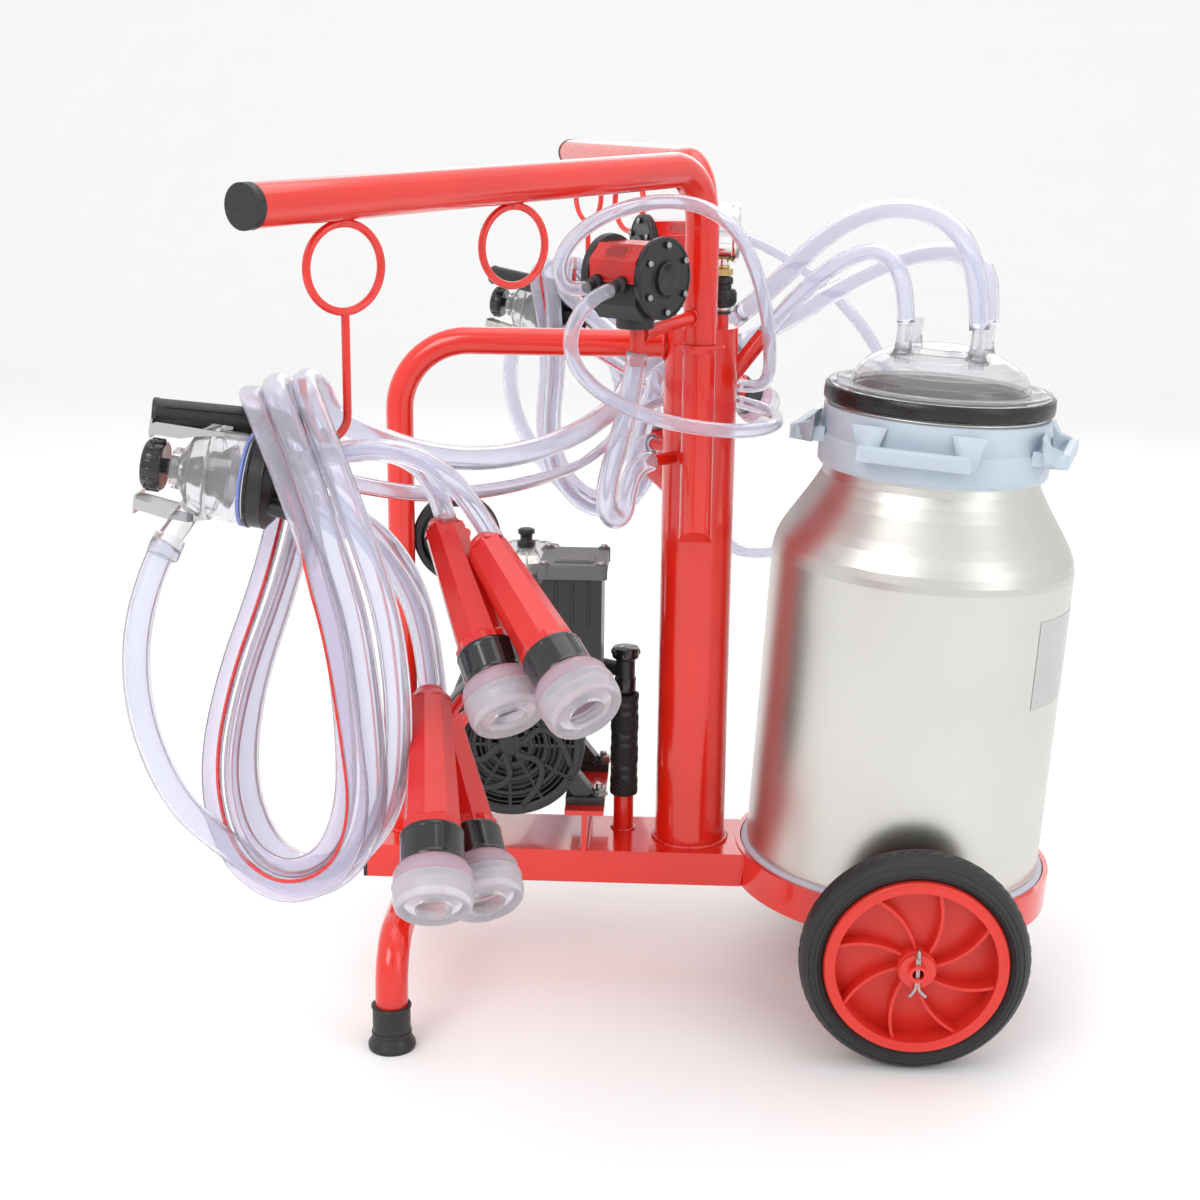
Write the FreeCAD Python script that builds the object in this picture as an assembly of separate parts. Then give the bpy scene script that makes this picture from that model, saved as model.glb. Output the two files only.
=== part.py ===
"""Portable two-cluster milking machine: trolley, vacuum pump, milk can, swivel arms and clusters.

Millimetres, +Z up, +X towards the can, +Y away from the side with the near arm.
Sub-parts are modelled about the vacuum post (0, 0) and shifted to ORIGIN when they are written.
"""
import FreeCAD
import Part
import math
import os

V = FreeCAD.Vector
X, Y, Z = V(1, 0, 0), V(0, 1, 0), V(0, 0, 1)
os.makedirs("parts", exist_ok=True)

# ---------------------------------------------------------------- driving dimensions
ORIGIN = V(-15.65, 12.61, 0)           # bottom centre of the whole, measured from the post axis

BEAM_LEFT, BEAM_RIGHT = -332.0, 50.0   # spine beam, a rectangular tube
BEAM_WIDTH, BEAM_HEIGHT, BEAM_TOP, WALL = 98.0, 35.0, 155.7, 3.0
POST_R, POST_TOP = 36.0, 688.0         # vacuum tank post
TUBE_R = 16.0                          # arms, sockets and legs, 32 mm tube
FRONT_R, FRONT_X, FRONT_Z = 13.5, -298.0, 670.0
LEG_X, FOOT_Y, BOOT_HEIGHT = -288.0, 185.0, 45.0

SOCKET_X, SOCKET_Y = -2.0, POST_R + TUBE_R
SOCKET_BOTTOM, SOCKET_TOP, SPIGOT_R = 483.0, 677.5, 12.95
ARM_TOP, ARM_DROP, ARM_LENGTH = 841.0, 10.0, 600.0
NEAR_SWING, FAR_SWING = 58.0, 74.0     # arm directions, degrees away from -X

CAN_X, CAN_TILT, RING_TOP = 209.6, 2.98, 149.0
COLLAR_TURN = -15.6                       # how far the collar's loops stand from the trolley's axes
CAN_R, CAN_WALL, RING_R, RING_HEIGHT, BAR = 150.0, 2.0, 161.8, 35.0, 5.0
CAN_FLOOR = BAR - RING_HEIGHT          # heights along the can's axis, from the ring's top edge
NECK_R, NECK, MOUTH = 106.0, 402.0, 466.0
SHOULDER_CURVE = ((150, 311), (149.2, 318), (147.2, 326), (143.8, 334), (139, 342.5), (133, 352),
                  (126.5, 362), (119.5, 373), (112.8, 384.5), (107.8, 394))
LID_R, LID_TOP, NOZZLE_R, NOZZLE_RING = 111.0, 527.0, 7.5, 50.0

AXLE_X, AXLE_Z, AXLE_R = 216.2, 109.9, 8.5
TYRE_R, RIM_R, TYRE_Y, TYRE_HALF = 109.9, 88.4, 185.0, 21.0
RIBS, RUNNING = 8, 0.05

RISER = V(-70, 18, BEAM_TOP)           # foot of the pump's vacuum riser on the beam
FAN = V(-181, -80, 279)                # centre of the motor's fan cover, motor axis along Y
MOTOR_R, MOTOR_LENGTH = 68.0, 150.0
GAUGE = V(19, 2, 778)                  # centre of the vacuum gauge, its dial facing +X

MILK_R, SHORT_MILK_R, PULSE_R, TWIN_R = 10.0, 8.0, 6.5, 8.0


# ---------------------------------------------------------------- helpers
def save(node, *shapes):
    """Write the solids of one node, moved to the object's own origin."""
    solids = [solid for shape in shapes for solid in shape.Solids]
    shape = solids[0] if len(solids) == 1 else Part.makeCompound(solids)
    shape = shape.copy()
    shape.translate(ORIGIN * -1)
    shape.exportStep("parts/%s.step" % node)
    box = shape.BoundBox
    print("%-20s %2d solids valid=%s volume=%9.0f  x %.0f..%.0f y %.0f..%.0f z %.0f..%.0f" % (
        node, len(solids), shape.isValid(), shape.Volume, box.XMin, box.XMax, box.YMin, box.YMax,
        box.ZMin, box.ZMax))


def box(low, high):
    return Part.makeBox(high[0] - low[0], high[1] - low[1], high[2] - low[2], V(*low))


def rod(start, end, radius, bore=0.0):
    """A cylinder between two points, hollow if it has a bore."""
    along = end - start
    solid = Part.makeCylinder(radius, along.Length, start, along)
    if bore:
        solid = solid.cut(Part.makeCylinder(bore, along.Length, start, along))
    return solid


def cone(start, end, first, second):
    along = end - start
    return Part.makeCone(first, second, along.Length, start, along)


def fuse(first, *others):
    return first.fuse(list(others)).removeSplitter()


def turned(outline, base=V(0, 0, 0), axis=Z):
    """A solid of revolution: outline is (radius, height) points round the axis through base."""
    points = [V(radius, 0, height) for radius, height in outline]
    face = Part.Face(Part.makePolygon(points + points[:1]))
    solid = face.revolve(V(0, 0, 0), Z, 360)
    solid.Placement = FreeCAD.Placement(base, FreeCAD.Rotation(Z, axis))
    return solid


def rounded_path(points, radii):
    """Straight runs joined by tangent arcs, as one wire."""
    edges, last = [], points[0]
    for before, corner, after, radius in zip(points, points[1:], points[2:], radii):
        towards, away = (corner - before).normalize(), (after - corner).normalize()
        half = towards.getAngle(away) / 2
        setback = radius * math.tan(half)
        start, end = corner - towards * setback, corner + away * setback
        inwards = (away - towards).normalize()
        middle = corner + inwards * (radius / math.cos(half) - radius)
        edges.append(Part.LineSegment(last, start).toShape())
        edges.append(Part.Arc(start, middle, end).toShape())
        last = end
    edges.append(Part.LineSegment(last, points[-1]).toShape())
    return Part.Wire(edges)


def swept(path, start, towards, radius):
    circle = Part.Wire([Part.makeCircle(radius, start, towards)])
    return path.makePipeShell([circle], True, False)


def bent_tube(points, bends, radius, bore=0.0):
    """A steel tube or wire with a bend radius at each inner point."""
    path = rounded_path(points, bends)
    tube = swept(path, points[0], points[1] - points[0], radius)
    return tube.cut(swept(path, points[0], points[1] - points[0], bore)) if bore else tube


def cord_radii(points):
    """The largest arc that each corner's two runs allow."""
    radii = []
    for before, corner, after in zip(points, points[1:], points[2:]):
        turn = (corner - before).getAngle(after - corner)
        shorter = min((corner - before).Length, (after - corner).Length)
        radii.append(0.45 * shorter / math.tan(turn / 2))
    return radii


def hose(name, route, radius):
    """The plain solid of a free hose along its hand-laid route."""
    points = [V(*point) for point in route]
    radii = cord_radii(points)
    path = rounded_path(points, radii)
    solid = swept(path, points[0], points[1] - points[0], radius)
    section = math.pi * radius ** 2
    print("  %s: length %.0f, least radius %.1f (%.1f diameters), volume ratio %.3f, radii %s" % (
        name, path.Length, min(radii), min(radii) / radius / 2, solid.Volume / section / path.Length,
        " ".join("%.0f" % value for value in radii)))
    return solid


def tilted(shape):
    """The can stands in a ring that leans a little towards +X."""
    leaning = shape.copy()
    leaning.rotate(V(CAN_X, 0, RING_TOP), Y, CAN_TILT)
    return leaning


def about_can(outline):
    return tilted(turned(outline, V(CAN_X, 0, RING_TOP)))


def far(shape):
    """The far side's arm and cluster: a mirror image, swung to its own angle."""
    other = shape.mirror(V(0, 0, 0), Y)
    other.rotate(V(SOCKET_X, SOCKET_Y, 0), Z, NEAR_SWING - FAR_SWING)
    return other


def save_both(name, *shapes):
    save(name + "_near", *shapes)
    save(name + "_far", *[far(shape) for shape in shapes])


# ---------------------------------------------------------------- trolley frame
def base_beam():
    half, bottom = BEAM_WIDTH / 2, BEAM_TOP - BEAM_HEIGHT
    outer = box((BEAM_LEFT, -half, bottom), (BEAM_RIGHT + 20, half, BEAM_TOP))
    inner = box((BEAM_LEFT, -half + WALL, bottom + WALL), (BEAM_RIGHT + 20, half - WALL, BEAM_TOP - WALL))
    ring_space = about_can([(0, -90), (RING_R, -90), (RING_R, 60), (0, 60)])
    stub = rod(RISER, RISER + Z * 48, 10.5, 8)
    return fuse(outer.cut(inner).cut(ring_space), stub)


def beam_plug():
    half, bottom = BEAM_WIDTH / 2, BEAM_TOP - BEAM_HEIGHT
    flange = box((BEAM_LEFT - 4, -half, bottom), (BEAM_LEFT, half, BEAM_TOP))
    tongue = box((BEAM_LEFT, -half + WALL, bottom + WALL), (BEAM_LEFT + 18, half - WALL, BEAM_TOP - WALL))
    return fuse(flange, tongue)


def front_tube():
    bend = 70.0
    post = Part.makeCylinder(POST_R, POST_TOP)
    tube = bent_tube([V(FRONT_X, 0, BEAM_TOP), V(FRONT_X, 0, FRONT_Z), V(0, 0, FRONT_Z)], [bend],
                     FRONT_R, FRONT_R - 2)
    return tube.cut(post)


def leg_route():
    axis_z = BEAM_TOP - BEAM_HEIGHT - TUBE_R
    return [V(LEG_X, -FOOT_Y, 8), V(LEG_X, -FOOT_Y + 8, axis_z), V(LEG_X, FOOT_Y - 8, axis_z),
            V(LEG_X, FOOT_Y, 8)]


def leg_arch():
    return bent_tube(leg_route(), [46, 46], TUBE_R, TUBE_R - 2)


def leg_boots():
    leg = bent_tube(leg_route(), [46, 46], TUBE_R)
    outline = [(0, 0), (22.5, 0), (22.5, 6), (18.5, 14), (18.5, BOOT_HEIGHT), (0, BOOT_HEIGHT)]
    boots = [turned(outline, V(LEG_X, side * (FOOT_Y - 1), 0)).cut(leg) for side in (-1, 1)]
    return [boot.Solids[0] for boot in boots]


def vacuum_post():
    """The tank post with its can hose stub, two pulsator nipples and the pump's riser stub."""
    body = Part.makeCylinder(POST_R, POST_TOP - BEAM_TOP, V(0, 0, BEAM_TOP))
    inside = Part.makeCylinder(POST_R - WALL, POST_TOP - BEAM_TOP - 2 * WALL, V(0, 0, BEAM_TOP + WALL))
    stub = rod(V(30, 8, 638), V(62, 20, 678), 8.5)
    nipples = [rod(V(-22, side * 22, 562), V(-46, side * 46, 562), 6) for side in (-1, 1)]
    fitting = rod(V(GAUGE.x, GAUGE.y, POST_TOP - 5), V(GAUGE.x, GAUGE.y, POST_TOP + 12), 7)
    return fuse(body, stub, fitting, *nipples).cut(inside)


def arm_sockets():
    """Upright tubes welded to the post's sides, each with a thrust washer on top."""
    sockets = []
    for side in (-1, 1):
        centre = V(SOCKET_X, side * SOCKET_Y, 0)
        low, top = centre + Z * SOCKET_BOTTOM, centre + Z * SOCKET_TOP
        tube = rod(low, top, TUBE_R)
        washer = rod(top - Z * 2.5, top, 24.5)
        collar = cone(top - Z * 8, top - Z * 2.5, TUBE_R, TUBE_R + 3)
        welds = [box((-6, min(side * 36, side * 50), z), (6, max(side * 36, side * 50), z + 14))
                 for z in (520, 590, 650)]
        bore = rod(centre + Z * (SOCKET_BOTTOM + 45), top, SPIGOT_R + RUNNING)
        chamfer = box((-30, -30, -60), (30, 30, 0))
        chamfer.rotate(V(0, 0, 0), X, side * 38)
        chamfer.translate(low + V(0, side * 6, 6))
        socket = fuse(tube, washer, collar, *welds).cut(bore).cut(chamfer)
        socket = socket.cut(Part.makeCylinder(POST_R, POST_TOP))
        sockets.append(max(socket.Solids, key=lambda solid: solid.Volume))
    return sockets


def can_ring():
    """Flat-bar ring with two floor bars, notched where the axle is welded through."""
    hoop = [(RING_R - BAR, -RING_HEIGHT), (RING_R, -RING_HEIGHT), (RING_R, 0), (RING_R - BAR, 0)]
    ring = about_can(hoop)
    half = math.sqrt((RING_R - 2) ** 2 - 70 ** 2)
    bars = []
    for offset in (-70, 70):
        low = (CAN_X + offset - 15, -half, RING_TOP - RING_HEIGHT)
        high = (CAN_X + offset + 15, half, RING_TOP + CAN_FLOOR)
        bars.append(tilted(box(low, high)))
    lug = tilted(box((CAN_X - RING_R + 1, -14, RING_TOP - RING_HEIGHT - 9),
                     (CAN_X - RING_R + 26, 14, RING_TOP - RING_HEIGHT)))
    axle_hole = rod(V(AXLE_X, -200, AXLE_Z), V(AXLE_X, 200, AXLE_Z), AXLE_R)
    return fuse(ring, lug, *bars).cut(axle_hole)


def cotter(side):
    """Split pin through the axle, its eye on the near end."""
    y = side * (TYRE_Y + 30.5)
    leg = rod(V(AXLE_X, y, AXLE_Z - 17), V(AXLE_X, y, AXLE_Z + 15), 1.6)
    eye = Part.makeTorus(4, 1.5, V(AXLE_X, y, AXLE_Z + 19), X)
    return fuse(leg, eye)


def axle():
    end = TYRE_Y + 35
    shaft = rod(V(AXLE_X, -end, AXLE_Z), V(AXLE_X, end, AXLE_Z), AXLE_R, AXLE_R - 3)
    return shaft.cut(cotter(-1)).cut(cotter(1))


def axle_washers():
    return [rod(V(AXLE_X, side * (TYRE_Y + 25.6), AXLE_Z), V(AXLE_X, side * (TYRE_Y + 27.8), AXLE_Z),
                17, AXLE_R) for side in (-1, 1)]


# ---------------------------------------------------------------- wheels
def on_axle(solid, side):
    """Turn a wheel piece modelled along +Z to point outwards on one side."""
    solid = solid.copy()
    solid.Placement = FreeCAD.Placement(V(AXLE_X, side * TYRE_Y, AXLE_Z),
                                        FreeCAD.Rotation(Z, V(0, side, 0))).multiply(solid.Placement)
    return solid


def tyre(side):
    half, crown = TYRE_HALF, TYRE_R
    profile = [V(RIM_R, 0, -half + 4), V(RIM_R, 0, half - 4)]
    edges = [
        Part.LineSegment(*profile).toShape(),
        Part.LineSegment(profile[1], V(94, 0, half)).toShape(),
        Part.Arc(V(94, 0, half), V(105.2, 0, half - 6), V(crown, 0, half - 15)).toShape(),
        Part.LineSegment(V(crown, 0, half - 15), V(crown, 0, -half + 15)).toShape(),
        Part.Arc(V(crown, 0, -half + 15), V(105.2, 0, -half + 6), V(94, 0, -half)).toShape(),
        Part.LineSegment(V(94, 0, -half), profile[0]).toShape(),
    ]
    return on_axle(Part.Face(Part.Wire(edges)).revolve(V(0, 0, 0), Z, 360), side)


def rim(side):
    half = TYRE_HALF
    barrel = turned([(77, -half + 3), (RIM_R - 0.2, -half + 3), (RIM_R - 0.2, half - 3), (86, half + 1),
                     (77, half + 1)])
    web = turned([(15, -2), (78, -8), (78, -3), (15, 4)])
    hub = turned([(8, -half + 1), (18, -half + 1), (18, half + 4), (8, half + 4)])
    ribs = []
    reach = Part.makeCylinder(78, 30, V(0, 0, -8))
    for step in range(RIBS):
        rib = Part.makeCylinder(76, 24, V(0, 74, -6)).cut(Part.makeCylinder(73, 24, V(0, 74, -6)))
        rib = rib.common(box((0, 0, -6), (78, 60, 18))).common(reach)
        rib.rotate(V(0, 0, 0), Z, step * 360.0 / RIBS)
        ribs.append(rib)
    bore = Part.makeCylinder(AXLE_R + RUNNING, 80, V(0, 0, -40))
    return on_axle(fuse(barrel, web, hub, *ribs).cut(bore), side)


# ---------------------------------------------------------------- milk can and lid
def can_body():
    floor = CAN_FLOOR + 4
    outer = [(0, floor), (138, floor), (146, floor + 4), (CAN_R, floor + 14), *SHOULDER_CURVE,
             (NECK_R, NECK), (NECK_R, MOUTH), (0, MOUTH)]
    inner = [(max(radius - CAN_WALL, 0), height) for radius, height in outer]
    inner[0], inner[1] = (0, floor + CAN_WALL), (138 - CAN_WALL, floor + CAN_WALL)
    inner[-2], inner[-1] = (NECK_R - CAN_WALL, MOUTH + 5), (0, MOUTH + 5)
    return about_can(outer).cut(about_can(inner))


def can_base_ring():
    floor = CAN_FLOOR
    ring = about_can([(110, floor), (154, floor), (156.3, floor + 5), (155, floor + 30), (150.3, floor + 32),
                      (110, floor + 32)])
    body = about_can([(0, floor + 4), (138.2, floor + 4), (146.2, floor + 8), (150.2, floor + 18),
                      (150.2, floor + 90), (0, floor + 90)])
    return ring.cut(body)


def can_collar():
    """Plastic neck collar with four loop handles."""
    ring = turned([(NECK_R + 0.2, NECK + 2), (111.5, NECK + 2), (112.5, NECK + 4), (112.5, NECK + 30),
                   (110.8, NECK + 33), (110.8, MOUTH - 4), (NECK_R + 0.2, MOUTH - 4)])
    loops = []
    for quarter in range(4):
        bar = box((126.5, -53, NECK + 24), (134.5, 53, NECK + 38))
        feet = [box((100, side * 47 - 6, NECK + 24), (127, side * 47 + 6, NECK + 38)) for side in (-1, 1)]
        loop = fuse(bar, *feet).cut(Part.makeCylinder(NECK_R + 0.2, 100, V(0, 0, NECK)))
        loop.rotate(V(0, 0, 0), Z, 90 * quarter + COLLAR_TURN)
        loops.append(loop)
    collar = fuse(ring, *loops)
    collar.translate(V(CAN_X, 0, RING_TOP))
    return tilted(collar)


def nozzle_angles():
    return [-60 + 90 * quarter for quarter in range(4)]


def nozzle(angle, first, last, radius):
    """A rod along the lid's axis on the nozzle circle."""
    turn = math.radians(angle)
    foot = V(CAN_X + NOZZLE_RING * math.cos(turn), NOZZLE_RING * math.sin(turn), RING_TOP)
    return tilted(rod(foot + Z * first, foot + Z * last, radius))


def lid_gasket():
    return about_can([(NECK_R - 3, MOUTH + 0.3), (LID_R, MOUTH + 0.3), (LID_R + 1, MOUTH + 7),
                      (LID_R, MOUTH + 14), (100, MOUTH + 14), (100, MOUTH + 3), (NECK_R - 3, MOUTH + 3)])


def can_lid():
    flange = MOUTH + 14
    steps = 8
    reach = 88.0

    def dome(thickness):
        return [((reach - thickness) * math.cos(math.pi / 2 * step / steps),
                 flange + 5 + (LID_TOP - flange - 5 - thickness) * math.sin(math.pi / 2 * step / steps))
                for step in range(1, steps)]

    outer = [(0, flange), (LID_R - 2, flange), (LID_R - 2, flange + 5), (reach, flange + 5)]
    shell = about_can(outer + dome(0) + [(0, LID_TOP)])
    hollow = about_can([(0, flange - 1), (reach - 3, flange - 1), (reach - 3, flange + 5)] + dome(3)
                       + [(0, LID_TOP - 3)])
    plug = about_can([(94, MOUTH - 12), (99.5, MOUTH - 12), (99.5, flange + 1), (94, flange + 1)])
    spouts = [nozzle(angle, 508, 545, NOZZLE_R) for angle in nozzle_angles()]
    bores = [nozzle(angle, 500, 546, NOZZLE_R - 2) for angle in nozzle_angles()]
    return fuse(shell.cut(hollow), plug, *spouts).cut(Part.makeCompound(bores))


# ---------------------------------------------------------------- swivel arms
def along_arm(reach, z, sideways=0.0, turn=0.0):
    """A point over the near arm: reach from its socket, at its rest direction plus turn degrees."""
    angle = math.radians(180 + NEAR_SWING - turn)
    side = angle - math.pi / 2
    return V(SOCKET_X + reach * math.cos(angle) + sideways * math.cos(side),
             -SOCKET_Y + reach * math.sin(angle) + sideways * math.sin(side), z)


def arm_axis_z(reach):
    return ARM_TOP - ARM_DROP * reach / ARM_LENGTH


RING_BEND, WIRE_R, RING_TURN = 32.0, 3.2, 16.0
HOOK_REACH, RING_REACH, HOOK_BEND, HOOK_LOW = 498.0, 293.0, 16.5, 658.0


def wire_point(reach, offset, z):
    """A point in the plane of a wire ring that hangs at reach."""
    centre = along_arm(reach, z)
    angle = math.radians(180 + NEAR_SWING - RING_TURN)
    return centre + V(math.cos(angle), math.sin(angle), 0) * offset


def hanging_ring(reach):
    centre = along_arm(reach, arm_axis_z(reach) - TUBE_R - RING_BEND - WIRE_R + 1.5)
    across = (wire_point(reach, 1, 0) - wire_point(reach, 0, 0)).cross(Z)
    return Part.makeTorus(RING_BEND, WIRE_R, centre, across), centre


def arm():
    """Tube, spigot, pulsator bracket and two wire rings, the outer one with a hook."""
    foot = V(SOCKET_X, -SOCKET_Y, SOCKET_TOP + 0.3)
    top = V(SOCKET_X, -SOCKET_Y, ARM_TOP)
    tip = along_arm(ARM_LENGTH - 8, arm_axis_z(ARM_LENGTH - 8))
    tube = bent_tube([foot, top, tip], [52], TUBE_R, TUBE_R - 2.5)
    spigot = rod(V(SOCKET_X, -SOCKET_Y, 532), foot + Z * 20, SPIGOT_R)
    neck = rod(foot, foot + Z * 20, TUBE_R - 1)
    bracket = rod(along_arm(10, 704), along_arm(108, 696), 6.3)
    t_pipe = rod(along_arm(108, 668), along_arm(108, 712), 6.8)
    inner_ring, _ = hanging_ring(RING_REACH)
    hook_ring, centre = hanging_ring(HOOK_REACH)
    stem_top = centre.z - RING_BEND
    hook = bent_tube([wire_point(HOOK_REACH, 0, stem_top), wire_point(HOOK_REACH, 0, HOOK_LOW),
                      wire_point(HOOK_REACH, 2 * HOOK_BEND + 1, HOOK_LOW),
                      wire_point(HOOK_REACH, 2 * HOOK_BEND + 5, 704)], [HOOK_BEND, HOOK_BEND - 1], WIRE_R)
    return fuse(tube, spigot, neck, bracket, t_pipe, inner_ring, hook_ring, hook)


def arm_cap():
    root = along_arm(ARM_LENGTH - 8, arm_axis_z(ARM_LENGTH - 8))
    tip = along_arm(ARM_LENGTH, arm_axis_z(ARM_LENGTH))
    tongue = along_arm(ARM_LENGTH - 26, arm_axis_z(ARM_LENGTH - 26))
    return fuse(rod(root, tip, TUBE_R + 0.4), rod(tongue, root, TUBE_R - 2.5))


# ---------------------------------------------------------------- pulsators
PULSATOR = along_arm(112, 745)
PULSATOR_AXIS = V(0.80, -0.60, 0)      # its round covers face along this line


def pulsator_place(shape):
    """Local x runs along the cover axis, local z up, about the pulsator's centre."""
    shape = shape.copy()
    turn = FreeCAD.Rotation(Z, math.degrees(math.atan2(PULSATOR_AXIS.y, PULSATOR_AXIS.x)))
    shape.Placement = FreeCAD.Placement(PULSATOR, turn).multiply(shape.Placement)
    return shape


def octagon(x0, x1, size, chamfer):
    """A chamfered square bar along local x."""
    half = size / 2
    cut = half - chamfer
    corners = [(half, cut), (cut, half), (-cut, half), (-half, cut), (-half, -cut), (-cut, -half),
               (cut, -half), (half, -cut)]
    points = [V(x0, y, z) for y, z in corners]
    return Part.Face(Part.makePolygon(points + points[:1])).extrude(V(x1 - x0, 0, 0))


def pulsator_upper():
    body = octagon(-26, 26, 68, 14).common(box((-30, -40, 2), (30, 40, 40)))
    return pulsator_place(body)


def pulsator_lower():
    body = octagon(-26, 26, 66, 14).common(box((-30, -40, -40), (30, 40, 1.9)))
    covers = [rod(V(side * 26.1, 0, 4), V(side * 34, 0, 4), 36) for side in (-1, 1)]
    faces = [rod(V(side * 34, 0, 4), V(side * 37, 0, 4), 15) for side in (-1, 1)]
    base = rod(V(0, 0, -42), V(0, 0, -25), 17)
    nipples = [rod(V(x, -30, 2), V(x, -52, -4), 4.5) for x in (-16, 12)]
    lower = fuse(body, base, *covers, *faces, *nipples)
    upper_space = octagon(-26.1, 26.1, 68.2, 14).common(box((-30, -40, 1.95), (30, 40, 40)))
    t_pipe = rod(along_arm(108, 668), along_arm(108, 712.05), 6.8)
    return pulsator_place(lower.cut(upper_space)).cut(t_pipe)


def pulsator_screws():
    """Six pan-head screws in each round cover."""
    heads = []
    for side in (-1, 1):
        for step in range(6):
            turn = math.radians(60 * step + 30)
            place = V(side * 34, 29.5 * math.cos(turn), 4 + 29.5 * math.sin(turn))
            heads.append(pulsator_place(rod(place, place + V(side * 2.2, 0, 0), 3.2)))
    return heads


# ---------------------------------------------------------------- claw and teat cups
CLAW = V(-320, -517, 631)              # centre of the claw's base, axis towards the valve knob
CLAW_AXIS = V(-0.99, 0.0, 0.14)


def claw_turned(outline):
    return turned(outline, CLAW, CLAW_AXIS)


def claw_point(along, up=0.0, across=0.0):
    axis = V(CLAW_AXIS).normalize()
    side = axis.cross(Z).normalize()
    return CLAW + axis * along + side.cross(axis) * up + side * across


def claw_bowl():
    outer = claw_turned([(0, 8.1), (31.5, 8.1), (33.5, 20), (32.5, 40), (26, 54), (14, 62), (14, 68), (0, 68)])
    inner = claw_turned([(0, 8), (29, 8), (31, 20), (30, 39), (24, 51), (11, 59), (6, 59), (6, 69), (0, 69)])
    elbow = rod(claw_point(50, -24), V(-390, -541, 588), 9)
    return fuse(outer, elbow).cut(inner)


def claw_valve():
    """Shut-off valve: knob outside, stem and rubber cone inside the bowl."""
    return fuse(claw_turned([(0, 74), (17, 74), (18, 77), (18, 84), (15, 88), (0, 88)]),
                claw_turned([(0, 24), (24, 24), (20, 30), (8, 46), (5.94, 48), (5.94, 75), (0, 75)]))


HANDLE_START, HANDLE_END = V(-293, -476, 664), V(-404, -504, 678)


def claw_body():
    """Nipple block with its handle and the hanging eye."""
    disc = claw_turned([(0, -10), (27, -10), (34, -4), (34, 8), (0, 8)])
    hub = claw_turned([(0, -30), (13, -30), (15, -26), (15, -9), (0, -9)])
    nipples = []
    for up, across in ((20, -14), (20, 14), (-16, -20), (-16, 20)):
        nipples.append(rod(claw_point(-6, up * 0.8, across), claw_point(-34, up, across * 1.1), 5.5))
    handle = rod(HANDLE_START, HANDLE_END, 11.5)
    slot = rod(HANDLE_START * 0.1 + HANDLE_END * 0.9 - Z * 11, HANDLE_START * 0.5 + HANDLE_END * 0.5 - Z * 11, 3)
    strut = rod(claw_point(0, 28, 6), HANDLE_START * 0.75 + HANDLE_END * 0.25, 6)
    eye_centre = wire_point(HOOK_REACH, HOOK_BEND, HOOK_LOW + WIRE_R - 7.4)
    across = wire_point(HOOK_REACH, 1, 0) - wire_point(HOOK_REACH, 0, 0)
    eye = Part.makeTorus(10.5, 3, eye_centre, across)
    sideways = across.cross(Z).normalize()
    block = rod(eye_centre + sideways * 12, HANDLE_START + V(-8, 0, -2), 6)
    return fuse(disc, hub, handle.cut(slot), strut, eye, block, *nipples)


# shell top and mouth of each teat cup, and the route of its short milk tube from the claw
CUPS = (
    ((-191, -500, 594), (-132, -610, 484), ((-286, -500, 648), (-248, -496, 655), (-213, -494, 646),
                                            (-196, -494, 622))),
    ((-156, -531, 588), (-80, -643, 507), ((-286, -534, 650), (-246, -533, 662), (-203, -528, 655),
                                           (-171, -522, 626))),
    ((-195, -562, 481), (-178, -682, 378), ((-286, -540, 612), (-258, -524, 602), (-226, -522, 572),
                                            (-202, -536, 528))),
    ((-195, -507, 452), (-170, -571, 402), ((-286, -494, 612), (-254, -486, 600), (-220, -482, 560),
                                            (-202, -490, 505))),
)
CUP_SHELL, CUP_SLEEVE, CUP_LENGTH = 108.0, 134.0, 166.0


def cup_frame(cup):
    top, mouth = V(*cup[0]), V(*cup[1])
    return top, (mouth - top).normalize()


def teat_shells():
    """Eight-sided tapered shells with a milk spigot and a side pulse nipple."""
    shells = []
    for cup in CUPS:
        top, axis = cup_frame(cup)
        ends = []
        for along, radius in ((0, 15.5), (CUP_SHELL, 20.5)):
            corners = [V(radius * math.cos(math.radians(45 * step + 22.5)),
                         radius * math.sin(math.radians(45 * step + 22.5)), along) for step in range(8)]
            ends.append(Part.makePolygon(corners + corners[:1]))
        body = Part.makeLoft(ends, True, True)
        neck = Part.makeCone(10, 14, 8, V(0, 0, -7.9))
        nipple = rod(V(12, 0, 14), V(24, 0, -4), 4)
        hollow = Part.makeCylinder(12.5, CUP_SHELL - 8, V(0, 0, 8.1))
        bore = Part.makeCylinder(6.2, 20, V(0, 0, -9))
        shell = fuse(body, neck, nipple).cut(hollow).cut(bore)
        shell.Placement = FreeCAD.Placement(top, FreeCAD.Rotation(Z, axis))
        shells.append(shell)
    return shells


def teat_sleeves():
    sleeves = []
    for cup in CUPS:
        top, axis = cup_frame(cup)
        sleeves.append(turned([(16, CUP_SHELL + 0.1), (21.5, CUP_SHELL + 0.1), (22.3, CUP_SHELL + 3),
                               (22.3, CUP_SLEEVE), (16, CUP_SLEEVE)], top, axis))
    return sleeves


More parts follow.
